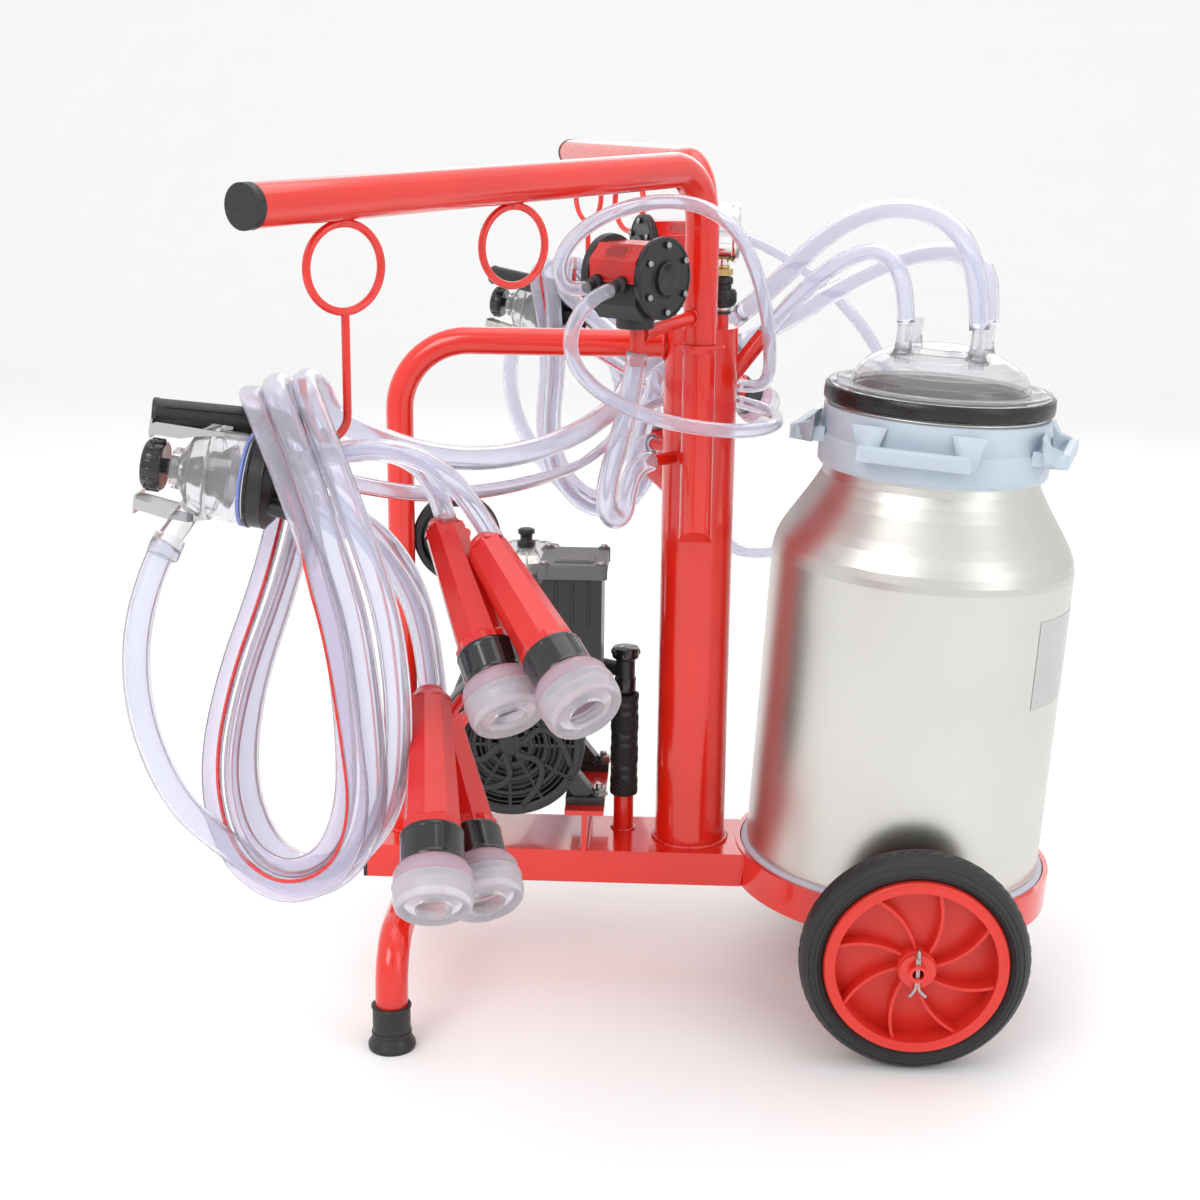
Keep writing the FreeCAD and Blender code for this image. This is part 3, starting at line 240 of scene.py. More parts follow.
FINISHES = {"base_beam": RED, "front_tube": RED, "leg_arch": RED, "end_caps": RUBBER, "vacuum_post": RED,
    "arm_sockets": RED, "motor_brackets": RED, "can_ring": RED, "axle": RED, "riser": BLACK,
    "motor_body": MOTOR, "fan_cover": BLACK, "pump_head": CAST, "junction_box": BLACK, "regulator": BLACK,
    "gauge_body": CHROME, "can_body": CAN, "can_plastic": CAN_PLASTIC, "can_lid": CLEAR,
    "lid_gasket": GASKET, "motor_rotor": BLACK, "gauge_needle": INK_AND_SHADE_BLACK, }
for side in ("near", "far"):
    FINISHES["rim_" + side] = WHEEL_RED
    FINISHES["tyre_" + side] = TYRE
    for node, finish in (("arm", RED), ("arm_cap", RUBBER), ("pulsator_upper", RED_PLASTIC),
            ("pulsator_lower", BLACK), ("claw_body", BLACK), ("claw_bowl", CLEAR), ("claw_valve",
            BLACK_GLOSS), ("teat_shells", RED_PLASTIC), ("teat_sleeves", BLACK_GLOSS), ("teat_liners",
            LINER)):
        FINISHES[node + "_" + side] = finish
for node, finish in FINISHES.items():
    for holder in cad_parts[node].material_slots:
        holder.material = finish


# ---------------------------------------------------------------- building helpers
def piece(name, mesh, body, finish, smooth=True):
    """A new object that rides on a CAD body."""
    made = bpy.data.objects.new(name, mesh)
    bpy.context.scene.collection.objects.link(made)
    mesh.materials.append(finish)
    if smooth:
        for face in mesh.polygons:
            face.use_smooth = True
    if body:
        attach(made, body)
    return made


def mesh_of(builder):
    """Turns a bmesh builder into mesh data."""
    work = bmesh.new()
    builder(work)
    bmesh.ops.recalc_face_normals(work, faces=work.faces)
    mesh = bpy.data.meshes.new("mesh")
    work.to_mesh(mesh)
    work.free()
    return mesh


def frame_at(place, direction, up=Vector((0, 0, 1))):
    """A matrix whose z runs along direction."""
    z = Vector(direction).normalized()
    x = up.cross(z)
    if x.length < 1e-4:
        x = Vector((1, 0, 0)).cross(z)
    x.normalize()
    y = z.cross(x)
    return Matrix.Translation(place) @ Matrix((x, y, z)).transposed().to_4x4()


def lathe(work, outline, matrix, steps=48):
    """Revolves (radius, height) points, in metres, about the matrix's z axis."""
    rings = []
    for radius, height in outline:
        if radius < 1e-7:
            rings.append([work.verts.new(matrix @ Vector((0, 0, height)))])
            continue
        rings.append([work.verts.new(matrix @ Vector((radius * math.cos(2 * math.pi * k / steps),
            radius * math.sin(2 * math.pi * k / steps), height))) for k in range(steps)])
    for low, high in zip(rings, rings[1:]):
        for k in range(steps):
            a, b = low[k % len(low)], low[(k + 1) % len(low)]
            c, d = high[(k + 1) % len(high)], high[k % len(high)]
            corners = [v for n, v in enumerate((a, b, c, d)) if v not in (a, b, c, d)[:n]]
            if len(corners) > 2:
                work.faces.new(corners)


def nurbs_line(route, resolution=10):
    """The points that a smooth NURBS spline through this route follows."""
    data = bpy.data.curves.new("route", "CURVE")
    data.dimensions = "3D"
    spline = data.splines.new("NURBS")
    spline.points.add(len(route) - 1)
    for point, place in zip(spline.points, route):
        point.co = (*place, 1)
    spline.order_u = 3
    spline.use_endpoint_u = True
    spline.resolution_u = resolution
    holder = bpy.data.objects.new("route", data)
    bpy.context.scene.collection.objects.link(holder)
    bpy.context.view_layer.update()
    line = bpy.data.meshes.new_from_object(holder)
    points = [vertex.co.copy() for vertex in line.vertices]
    bpy.data.objects.remove(holder)
    bpy.data.curves.remove(data)
    bpy.data.meshes.remove(line)
    if (points[0] - Vector(route[0])).length > (points[-1] - Vector(route[0])).length:
        points.reverse()
    return [p for k, p in enumerate(points) if k == 0 or (p - points[k - 1]).length > 1e-5]


def moving_frames(points, first_up):
    """A sideways and an up direction at each point, carried along without twisting."""
    frames, up = [], Vector(first_up)
    for k in range(len(points)):
        before, after = points[max(k - 1, 0)], points[min(k + 1, len(points) - 1)]
        ahead = (after - before).normalized()
        up = (up - ahead * up.dot(ahead)).normalized()
        frames.append((up.cross(ahead).normalized(), up.copy()))
    return frames


def sweep(work, points, sections, first_up=(0, 0, 1), closed=True):
    """Sweeps one or more cross-section loops along points; the ends are closed between the loops."""
    frames = moving_frames(points, first_up)
    ends = []
    for section in sections:
        rings = [[work.verts.new(p + side * x + up * y) for x, y in section] for p, (side, up) in zip(points,
            frames)]
        for one, two in zip(rings, rings[1:]):
            for k in range(len(section)):
                work.faces.new((one[k], one[(k + 1) % len(section)], two[(k + 1) % len(section)], two[k]))
        ends.append((rings[0], rings[-1]))
    if closed and len(sections) == 1:
        work.faces.new(ends[0][0])
        work.faces.new(ends[0][1])
    elif closed:
        for k in range(len(sections[0])):
            n = (k + 1) % len(sections[0])
            for end in (0, 1):
                work.faces.new((ends[0][end][k], ends[0][end][n], ends[1][end][n], ends[1][end][k]))


def circle(radius, steps=20):
    return [(radius * math.cos(2 * math.pi * k / steps),
        radius * math.sin(2 * math.pi * k / steps)) for k in range(steps)]


def twin_section(radius, shrink=1.0, steps=24):
    """Two joined round tubes side by side."""
    small, out = radius * 0.53, []
    for k in range(steps):
        turn = 2 * math.pi * k / steps
        offset = radius * 0.47 * (1 if math.cos(turn) >= 0 else -1)
        if abs(math.cos(turn)) < 1e-6:
            offset = 0
        out.append((offset + small * shrink * math.cos(turn), small * shrink * math.sin(turn)))
    return out


def add_hose(name, route, radius, stands_for, body=None, bend=None, finish=HOSE,
             wall=0.72, flat=False, stripe=False, up=(0, 0, 1),
             solid=False, pieces=()):
    """A free hose: a thin-walled tube that follows the smooth spline through its route."""
    points = nurbs_line(route)
    if solid:
        sections = [circle(radius, 14)]
    elif flat:
        sections = [twin_section(radius), twin_section(radius, 0.62)]
    else:
        sections = [circle(radius), circle(radius * wall)]
    mesh = mesh_of(lambda work: sweep(work, points, sections, up))
    made = piece(name, mesh, None if bend else body, finish)
    if bend:
        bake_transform(made)
    if stands_for:
        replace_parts(made, *stands_for)
    extra = list(pieces)
    if stripe:
        frames = moving_frames(points, up)
        lean = math.radians(40)
        edge = [p + side * radius * (0.47 + 0.53 * math.cos(lean)) - above * radius * 0.53 * math.sin(lean)
                for p, (side, above) in zip(points, frames)]
        band = mesh_of(lambda work: sweep(work, edge, [circle(0.0014, 8)], up))
        mark = piece(name + "_stripe", band, None if bend else body, STRIPE)
        if bend:
            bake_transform(mark)
        extra.append(mark)
    return made


def places(route):
    return [at(*p) for p in route]


def mirrored(route):
    return [FAR @ p for p in route]


# ---------------------------------------------------------------- hoses and cords
MILK_DROP = ((-390, -541, 588), (-401, -555, 560), (-407, -571, 520), (-402, -586, 478), (-386, -599, 438),
    (-366, -606, 408), (-342, -605, 386))
COIL_LOOP = ((-240, -586, 540), (-231, -596, 470), (-231, -606, 412), (-252, -611, 370), (-290, -608, 356),
    (-326, -592, 374), (-345, -564, 420), (-340, -530, 480), (-320, -492, 545), (-306, -456, 610), (-304,
    -442, 660), (-312, -456, 694), (-316, -492, 706), (-300, -534, 694), (-274, -566, 644), (-254, -579,
    588))
MILK_RUN = ((-286, -440, 668), (-262, -426, 652), (-226, -388, 630), (-184, -334, 615), (-144, -264, 610),
    (-112, -190, 612), (-92, -120, 616), (-78, -55, 620), (-72, 8, 626), (-62, 62, 636), (-30, 94, 654), (22,
    95.3, 674), (39.8, 92, 689.8))
TWIN_RUN = ((-288, -446, 622), (-262, -432, 612), (-222, -394, 598), (-178, -340, 590), (-138, -266, 586),
    (-108, -190, 584), (-92, -118, 586), (-80, -52, 588), (-76, 10, 590), (-66, 66, 594), (-34, 98, 600), (6,
    96, 608), (36, 76, 612))
PULSE_A = ((-105, -179, 741), (-115, -192, 740), (-125, -204, 749), (-126, -208, 768), (-113, -207, 789),
    (-84, -198, 808), (-44, -182, 818), (-4, -160, 814), (28, -134, 792), (48, -106, 752), (60, -76, 710),
    (66, -34, 670), (68, 14, 636), (58, 54, 620), (38, 76, 619))
PULSE_B = ((-83, -196, 741), (-91, -207, 739), (-105, -218, 728), (-116, -226, 706), (-112, -232, 680), (-88,
    -238, 656), (-46, -236, 636), (0, -216, 624), (40, -182, 616), (66, -130, 612), (74, -68, 608), (72, -4,
    604), (60, 46, 602), (38, 74, 603))
VACUUM_HOSE = ((-59, -144, 680), (-64, -147, 640), (-74, -151, 600), (-84, -154, 564), (-86, -148, 536),
    (-78, -128, 520), (-70, -102, 522), (-68, -80, 540), (-60, -60, 560.5), (-46.9, -46.9, 562))
CAN_HOSE = ((63, 20.4, 679.3), (84, 26, 706), (112, 25, 734), (140, 17, 755), (163, 5, 764), (183, -9, 755),
    (193.6, -21, 730), (195, -25, 697.4))
NEAR_RISER = ((40.2, 91.9, 690.2), (77.2, 85.1, 723), (115, 76, 766), (158, 50, 797), (204, 14, 804), (240,
    -18, 788), (259, -38, 748), (262.9, -43.3, 693.7))
MILK_RUN_FAR = ((-167, 507, 668), (-144, 476, 652), (-110, 414, 632), (-74, 332, 618), (-38, 254, 618), (-4,
    179.7, 625), (43.7, 158, 651.8))
TWIN_RUN_FAR = ((-167, 513, 622), (-138, 476, 606), (-100, 406, 594), (-64, 316, 588), (-38, 222, 588), (-20,
    140, 592))
PULSE_A_FAR = ((-40, 213, 741), (-44, 224, 742), (-38, 240, 752), (-8, 252, 764), (42, 248, 758), (92, 240,
    736), (140, 236, 702), (184, 236, 656), (212, 238, 604), (212, 230, 546), (184, 212, 490), (134, 186,
    444), (84, 160, 422), (40, 138, 430), (12, 124, 466), (0, 116, 516), (-4, 118, 560), (-16, 138, 582))
PULSE_B_FAR = ((-66, 203, 741), (-71, 215, 739), (-84, 226, 724), (-88, 228, 698), (-78, 222, 666), (-54,
    206, 634), (-30, 176, 612), (-16, 144, 602))
VACUUM_HOSE_FAR = ((-32, 157, 680), (-38, 160, 640), (-48, 162, 600), (-58, 160, 565), (-66, 148, 538), (-66,
    124, 522), (-64, 98, 524), (-65, 78, 541), (-60, 60, 560.5), (-46.9, 46.9, 562))
FAR_RISER = ((44.2, 157.8, 652.1), (90.3, 136.7, 678.1), (146, 146, 714), (200, 142, 742), (246, 114, 756),
    (273, 72, 750), (280, 44, 738), (281.5, 28, 716), (281.1, 25, 693.4))
POWER_CORD = ((-150, -28, 425), (-172, -28, 428), (-200, -22, 432), (-226, -9, 430), (-246, 2, 425))
SHORT_TUBES = (((-286, -500, 648), (-248, -496, 655), (-213, -494, 646), (-196, -494, 622), (-188, -505.5,
    599.5)), ((-286, -534, 650), (-246, -533, 662), (-203, -528, 655), (-171, -522, 626), (-151.5, -525.3,
    592.1)), ((-286, -540, 612), (-258, -524, 602), (-226, -522, 572), (-202, -536, 528), (-195.9, -555.9,
    486.2)), ((-286, -494, 612), (-254, -486, 600), (-220, -482, 560), (-202, -490, 505), (-197.2, -501.3,
    456.5)), )


def hank_place(station, outwards, sideways):
    """A place beside the hank's middle line, outwards from its centre and sideways to the handle."""
    loop = places(COIL_LOOP)
    middle = sum(loop, Vector()) / len(loop)
    here, before, after = (loop[(station + k) % len(loop)] for k in (0, -1, 1))
    ahead = (after - before).normalized()
    out = here - middle
    out = (out - ahead * out.dot(ahead)).normalized()
    return here + out * outwards / 1000 + ahead.cross(out) * sideways / 1000


def hank(first, step, corners):
    """Four points for each quarter of the hank; corners place each strand at top, sides and bottom."""
    route = []
    for number, (here, there) in enumerate(zip(corners, corners[1:] + corners[-1:])):
        for part in range(4 if number < len(corners) - 1 else 1):
            share = 0.5 - 0.5 * math.cos(math.pi * part / 4)
            place = [one * (1 - share) + two * share for one, two in zip(here, there)]
            route.append(hank_place(first + step * (4 * number + part), *place))
    return route


def milk_route():
    """From the bowl's elbow down and up into the hank, one and a half turns, and on to the post."""
    turns = hank(4, -1, [(6, 0), (4, 6), (-6, 2), (2, -8), (-8, -16), (23, -8), (-6, -20)])
    return places(MILK_DROP) + turns + [hank_place(11, -4, -21)] + places(MILK_RUN)


def twin_route():
    """From the claw's hub into the hank, one and a half turns, and on to the post."""
    turns = hank(0, 1, [(2, 25), (10, 18), (0, 14), (-8, 21), (-15, 12), (-8, 20), (-16, 6)])
    return (places(((-296, -531, 633), (-284, -548, 620))) + [hank_place(15, -2,
        22)] + turns + [hank_place(9, -14, 2)] + places(TWIN_RUN))


near_bend = ("arm_near", "frame")
far_bend = ("arm_far", "frame")
milk_near, twin_near = milk_route(), twin_route()
milk_far = mirrored(milk_near[:-len(MILK_RUN) + 1]) + places(MILK_RUN_FAR[1:])
twin_far = mirrored(twin_near[:-len(TWIN_RUN) + 1]) + places(TWIN_RUN_FAR[1:])

add_hose("milk_hose_visual_near", milk_near, 0.010, ("milk_hose_near", "hose_coil_near"),
    bend=(*near_bend, at(-240, -400, 640), at(-84, -80, 618)))
add_hose("milk_hose_visual_far", milk_far, 0.010, ("milk_hose_far", "hose_coil_far"), bend=(*far_bend,
    at(-130, 440, 640), at(-10, 200, 630)))
add_hose("twin_tube_near", twin_near, 0.008, ("pulse_hose_near",), flat=True, stripe=True, finish=TWIN,
    bend=(*near_bend, at(-240, -400, 600), at(-84, -80, 588)), up=(0, 1, 0))
add_hose("twin_tube_far", twin_far, 0.008, ("pulse_hose_far",), flat=True, stripe=True, finish=TWIN,
    bend=(*far_bend, at(-130, 440, 600), at(-20, 160, 590)), up=(0, 1, 0))
add_hose("pulse_tube_a_near", places(PULSE_A), 0.0065, (), bend=(*near_bend, at(-84, -198, 808), at(60,
    -50, 690)))
add_hose("pulse_tube_b_near", places(PULSE_B), 0.0065, (), bend=(*near_bend, at(-88, -238, 656), at(70,
    -90, 610)))
add_hose("pulse_tube_a_far", places(PULSE_A_FAR), 0.0065, (), bend=(*far_bend, at(92, 240, 736), at(40,
    138, 430)))
add_hose("pulse_tube_b_far", places(PULSE_B_FAR), 0.0065, (), bend=(*far_bend, at(-78, 222, 666),
    at(-20, 144, 602)))
add_hose("vacuum_tube_near", places(VACUUM_HOSE), 0.010, ("vacuum_hose_near",), bend=(*near_bend,
    at(-84, -154, 564), at(-58, -59, 556)))
add_hose("vacuum_tube_far", places(VACUUM_HOSE_FAR), 0.010, ("vacuum_hose_far",), bend=(*far_bend,
    at(-58, 160, 565), at(-57, 58, 556)))
add_hose("can_vacuum_tube", places(CAN_HOSE), 0.0085, ("can_hose",), bend=("frame", "lid", at(84, 26,
    706), at(190, -15, 745)))
add_hose("milk_riser_tube_near", places(NEAR_RISER), 0.010, ("milk_riser_near",), bend=("frame",
    "lid", at(74, 94, 728), at(250, -30, 780)))
add_hose("milk_riser_tube_far", places(FAR_RISER), 0.010, ("milk_riser_far",), bend=("frame", "lid",
    at(92, 150, 684), at(276, 60, 740)))
for number, (route, length) in enumerate(zip(SHORT_TUBES, (0.128, 0.166, 0.174, 0.194)), 1):
    add_hose("short_tube_%d_near" % number, places(route), 0.008,
        ("short_tubes_near",) if number == 1 else (), body="arm_near")
    add_hose("short_tube_%d_far" % number, mirrored(places(route)), 0.008,
        ("short_tubes_far",) if number == 1 else (), body="arm_far")


def mains_route():
    """Out of the relief, round the tied coil in two layers, and down to the plug."""
    route = places(POWER_CORD)
    middle = at(-243, 12, 470)
    per_turn, turns = 14, 5.75
    for step in range(1, int(per_turn * turns) + 1):
        turn = step / per_turn
        outer = min(max((turn - 2.3) / 1.0, 0), 1)
        ring = 0.0340 + 0.0074 * outer + 0.0100 * max(0, 1 - turn / 0.8) ** 1.5
        across = -0.0100 + 0.0074 * min(turn, 2.8) - 0.0074 * max(turn - 2.8, 0)
        angle = -math.pi / 2 - 2 * math.pi * turn
        route.append(middle + Vector((ring * math.cos(angle), across, ring * math.sin(angle))))
    return route + places(((-205, 6, 452), (-206, 12, 440), (-206, 16, 428)))


def plug():
    """Two-pin mains plug with a ribbed grip."""
    base = frame_at(at(-206, 16, 428), Vector((6, 10, -36)))

    def build(work):
        grip = [(0.0046, -0.006), (0.0055, 0.0), (0.0062, 0.004)]
        for rib in range(4):
            z = 0.006 + rib * 0.0045
            grip += [(0.0084, z), (0.0090, z + 0.0012), (0.0084, z + 0.0024), (0.0076, z + 0.0030)]
        grip += [(0.0106, 0.027), (0.0112, 0.030), (0.0112, 0.037), (0.0, 0.037)]
        lathe(work, [(0.0, -0.006)] + grip, base, 32)
        for x in (-0.0055, 0.0055):
            lathe(work, [(0.0, 0.037), (0.0022, 0.037), (0.0022, 0.052), (0.0012, 0.0535), (0.0, 0.0535)],
                base @ Matrix.Translation((x, 0, 0)), 14)
    return piece("mains_plug", mesh_of(build), "frame", CABLE)


mains_plug = plug()
add_hose("mains_cord", mains_route(), 0.0035, ("power_cord",), body="frame", finish=CABLE, solid=True,
    pieces=[mains_plug])


# ---------------------------------------------------------------- trolley details
def bead(work, points, radius):
    """A weld: a lumpy rope of metal along a line."""
    frames = moving_frames(points, (0.1, 0.3, 0.9))
    rings = []
    for number, (p, (side, up)) in enumerate(zip(points, frames)):
        size = radius * (1 + 0.16 * math.sin(number * 1.9) + 0.10 * math.sin(number * 3.7 + 1))
        rings.append([work.verts.new(p + side * size * math.cos(t) + up * size * math.sin(t))
                      for t in (k * math.pi / 4 for k in range(8))])
    for one, two in zip(rings, rings[1:]):
        for k in range(8):
            work.faces.new((one[k], one[(k + 1) % 8], two[(k + 1) % 8], two[k]))
    work.faces.new(rings[0])
    work.faces.new(rings[-1])


def arc(centre, axis, radius, start=0.0, sweep_angle=360.0, count=90):
    base = frame_at(centre, axis)
    return [base @ Vector((radius * math.cos(t), radius * math.sin(t),
        0)) for t in (math.radians(start + sweep_angle * k / count) for k in range(count + 1))]


def line(start, end, count=24):
    return [start.lerp(end, k / count) for k in range(count + 1)]


def along_arm(reach, z):
    """A place over the near arm, as part.py has it."""
    angle = math.radians(238)
    return at(-2 + reach * math.cos(angle), -52 + reach * math.sin(angle), z)


def both(name, builder, finish, smooth=True, near="arm_near", far="arm_far"):
    """The same piece on both arms, the far one mirrored and swung."""
    mesh = mesh_of(builder)
    piece(name + "_near", mesh, near, finish, smooth)
    other = mesh.copy()
    other.materials.clear()
    other.transform(FAR)
    other.flip_normals()
    piece(name + "_far", other, far, finish, smooth)


def frame_welds(work):
    bead(work, arc(at(0, 0, 156.4), (0, 0, 1), 0.0375), 0.0026)
    bead(work, arc(at(-70, 18, 156.2), (0, 0, 1), 0.0116, count=40), 0.0018)
    bead(work, arc(at(-298, 0, 156.4), (0, 0, 1), 0.0145, count=48), 0.0020)
    bead(work, arc(at(-36.5, 0, 670), (1, 0, 0), 0.0146, count=48), 0.0020)
    for side in (-1, 1):
        for across in (-11, 7):
            bead(work, line(at(across, side * 39.5, 486), at(across, side * 39.5, 664), 70), 0.0022)
        bead(work, arc(at(-2, side * 52, 676.0), (0, 0, 1), 0.0170, count=48), 0.0014)
        bead(work, line(at(-272, side * 46, 121), at(-272, side * 8, 121), 16), 0.0024)
    for x in (-258.6, -251.4, -111.6, -104.4):
        bead(work, line(at(x, -48, 156.4), at(x, 48, 156.4), 50), 0.0016)
    for side in (-1, 1):
        bead(work, line(at(52, side * 49.2, 124), at(57, side * 49.2, 152), 14), 0.0020)


def arm_welds(work):
    bead(work, arc(along_arm(17.5, 703.4), along_arm(108, 696) - along_arm(10, 704), 0.0074, count=32),
        0.0017)
    bead(work, arc(along_arm(101, 696.5), along_arm(108, 696) - along_arm(10, 704), 0.0074, count=32),
        0.0014)
    for reach in (293, 498):
        centre = along_arm(reach, 841 - 10 * reach / 600 - 16.6)
        bead(work, arc(centre, (0, 0, 1), 0.0042, count=20), 0.0016)


piece("frame_welds", mesh_of(frame_welds), "frame", RED)
both("arm_welds", arm_welds, RED)


def hex_bolt(work, place, direction, across=0.013, washer=0.009):
    """Washer, chamfered hexagon head and the thread's end."""
    base = frame_at(place, direction)
    lathe(work, [(0, 0), (washer, 0), (washer, 0.0014), (0, 0.0014)], base, 28)
    half = across / 2 / math.cos(math.pi / 6)
    lathe(work, [(0, 0.0014), (half, 0.0014), (half, 0.0060), (half * 0.86, 0.0069), (0, 0.0069)], base, 6)
    lathe(work, [(0, 0.0069), (across * 0.28, 0.0069), (across * 0.28, 0.0105), (across * 0.2, 0.0112), (0,
        0.0112)], base, 18)


def pan_screw(work, place, direction, radius=0.003):
    """Pan head with a cross recess."""
    base = frame_at(place, direction)
    lathe(work, [(0, 0), (radius, 0), (radius, radius * 0.45), (radius * 0.8, radius * 0.75), (radius * 0.42,
        radius * 0.85), (radius * 0.36, radius * 0.25), (0, radius * 0.2)], base, 16)


def motor_bolts(work):
    for x in (-269, -94):
        for y in (-25, 76):
            hex_bolt(work, at(x, y, 208.7), (0, 0, 1))


def head_bolts(work):
    for turn in (45, 135, 225, 315):
        place = at(-181 + 45 * math.cos(math.radians(turn)), 114 + 45 * math.sin(math.radians(turn)), 400)
        hex_bolt(work, place, (0, 0, 1), 0.010, 0.0065)


piece("motor_bolts", mesh_of(motor_bolts), "frame", ZINC, smooth=False)
piece("pump_head_bolts", mesh_of(head_bolts), "frame", ZINC, smooth=False)


# ---------------------------------------------------------------- vacuum pump details
FAN_FACE = at(-181, -80, 279)


def grille(work):
    """S-curved spokes and thin rings over the fan, with a domed centre."""
    base = frame_at(FAN_FACE + Vector((0, 0.0005, 0)), (0, -1, 0))
    for spoke in range(6):
        middle = []
        for step in range(17):
            share = step / 16
            radius = 0.010 + 0.055 * share
            turn = math.radians(60 * spoke + 26 * math.sin(math.pi * share * 1.35) + 4)
            middle.append(base @ Vector((radius * math.cos(turn), radius * math.sin(turn), 0.0006)))
        wide = [(0.0032 * math.copysign(abs(math.cos(t)) ** 0.5, math.cos(t)),
            0.0018 * math.copysign(abs(math.sin(t)) ** 0.5,
            math.sin(t))) for t in (k * math.pi / 6 for k in range(12))]
        sweep(work, middle, [wide], (0, -1, 0))
    for ring in range(9):
        radius = 0.0195 + 0.0051 * ring
        loop = arc(base @ Vector((0, 0, 0.0003)), (0, -1, 0), radius, count=96)
        sweep(work, loop, [[(0.0007, -0.0008), (0.0007, 0.0008), (-0.0007, 0.0008), (-0.0007, -0.0008)]], (0,
            -1, 0))
    lathe(work, [(0, 0.0034), (0.004, 0.0033), (0.009, 0.0024), (0.012, 0.0010), (0.0125, -0.0015)], base,
        40)
    lathe(work, [(0.0636, -0.001), (0.0645, 0.0014), (0.0672, 0.0022), (0.0704, 0.0018), (0.0728, -0.0004),
        (0.0741, -0.006), (0.0743, -0.012)], base, 96)
    for turn in (90, 210, 330):
        spot = base @ Vector((0.0688 * math.cos(math.radians(turn)), 0.0688 * math.sin(math.radians(turn)),
            0.002))
        pan_screw(work, spot, (0, -1, 0), 0.0032)


def motor_fins(work):
    """Cooling ribs along the motor's shell."""
    for number in range(34):
        turn = 2 * math.pi * number / 34
        if 1.0 < turn < 2.0:
            continue
        out = Vector((math.cos(turn), 0, math.sin(turn)))
        start, end = at(-181, -38, 279) + out * 0.0694, at(-181, 90, 279) + out * 0.0694
        section = [(0.0009, -0.0026), (0.0006, 0.0026), (-0.0006, 0.0026), (-0.0009, -0.0026)]
        sweep(work, [start, start.lerp(end, 0.5), end], [section], out)
    for y in (-37, 91):
        loop = arc(at(-181, y, 279), (0, 1, 0), 0.0692, count=96)
        sweep(work, loop, [[(0.0016, -0.0014), (0.0016, 0.0014), (-0.0016, 0.0014), (-0.0016, -0.0014)]], (0,
            1, 0))


def rounded_plate(work, base, width, depth, height, corner, chamfer=0.0008, steps=5):
    """A rounded rectangular plate whose top edge is eased."""
    def loop(inset, z):
        points = []
        for cx, cy, start in ((1, 1, 0), (-1, 1, 90), (-1, -1, 180), (1, -1, 270)):
            for k in range(steps + 1):
                turn = math.radians(start + 90 * k / steps)
                points.append(base @ Vector((cx * (width / 2 - corner) + (corner - inset) * math.cos(turn),
                    cy * (depth / 2 - corner) + (corner - inset) * math.sin(turn), z)))
        return [work.verts.new(p) for p in points]
    rings = [loop(0, 0), loop(0, height - chamfer), loop(chamfer, height)]
    for low, high in zip(rings, rings[1:]):
        for k in range(len(low)):
            work.faces.new((low[k], low[(k + 1) % len(low)], high[(k + 1) % len(low)], high[k]))
    work.faces.new(rings[0])
    work.faces.new(rings[-1])


BOX_LID = Matrix.Translation(at(-121, -28, 447.2))


def box_cover(work):
    rounded_plate(work, BOX_LID, 0.0662, 0.0842, 0.0135, 0.004, 0.0018)
    rounded_plate(work, BOX_LID @ Matrix.Translation((0.001, -0.005, 0.0132)), 0.040, 0.044, 0.0016, 0.005,
        0.0006)
    rounded_plate(work, BOX_LID @ Matrix.Translation((0.001, -0.005, 0.0146)), 0.032, 0.036, 0.0008, 0.004,
        0.0004)
    for x in (-0.028, 0.028):
        for y in (-0.037, 0.037):
            lathe(work, [(0, 0), (0.0062, 0), (0.0062, 0.0142), (0.0056, 0.0148), (0, 0.0148)],
                BOX_LID @ Matrix.Translation((x, y, 0)), 24)


def box_screws(work):
    for x in (-0.028, 0.028):
        for y in (-0.037, 0.037):
            pan_screw(work, BOX_LID @ Vector((x, y, 0.0147)), (0, 0, 1), 0.0036)


def box_ribs(work):
    for x in (-137, -121, -105):
        start, end = at(x, -66.4, 398), at(x, -66.4, 444)
        sweep(work, [start, start.lerp(end, 0.5), end], [[(0.0014, -0.0008), (0.0010, 0.0010), (-0.0010,
            0.0010), (-0.0014, -0.0008)]], (0, -1, 0))
    rounded_plate(work, frame_at(at(-150.2, -28, 425), (-1, 0, 0)), 0.026, 0.026, 0.0028, 0.006)
    for step in range(5):
        spot = at(-153.5 - 4.6 * step, -28, 425.5 + 0.6 * step)
        lathe(work, [(0.0070 - 0.0005 * step, -0.0009), (0.0082 - 0.0005 * step, 0), (0.0070 - 0.0005 * step,
            0.0009)], frame_at(spot, (-29, 0, 3.9)), 28)


piece("fan_grille", mesh_of(grille), "frame", BLACK)
piece("motor_fins", mesh_of(motor_fins), "frame", MOTOR, smooth=False)
# Cover over the CAD lid in the grey of painted sheen.
piece("terminal_cover", mesh_of(box_cover), "frame", LID_PAINTED_SHEEN, smooth=False)
piece("terminal_screws", mesh_of(box_screws), "frame", ZINC)
piece("terminal_ribs", mesh_of(box_ribs), "frame", BLACK, smooth=False)


def head_fittings(work):
    """Black top plug and side ports of the pump head."""
    top = Matrix.Translation(at(-181, 114, 436))
    lathe(work, [(0, 0.001), (0.0098, 0.001), (0.0098, 0.006), (0.0066, 0.007), (0.0066, 0.0135), (0.0092,
        0.0142), (0.0092, 0.0182), (0.0078, 0.0195), (0, 0.0195)], top, 8)
    for start, way in ((at(-151, 102, 411.1), (1, 0, 0)), (at(-211, 114, 411.1), (-1, 0, 0))):
        lathe(work, [(0.0094, 0), (0.0128, 0.002), (0.0128, 0.009), (0.0100, 0.011), (0.0100, 0.019),
            (0.0108, 0.021), (0.0108, 0.0315), (0.0070, 0.033), (0.0070, 0.031), (0, 0.031)], frame_at(start,
            way), 32)


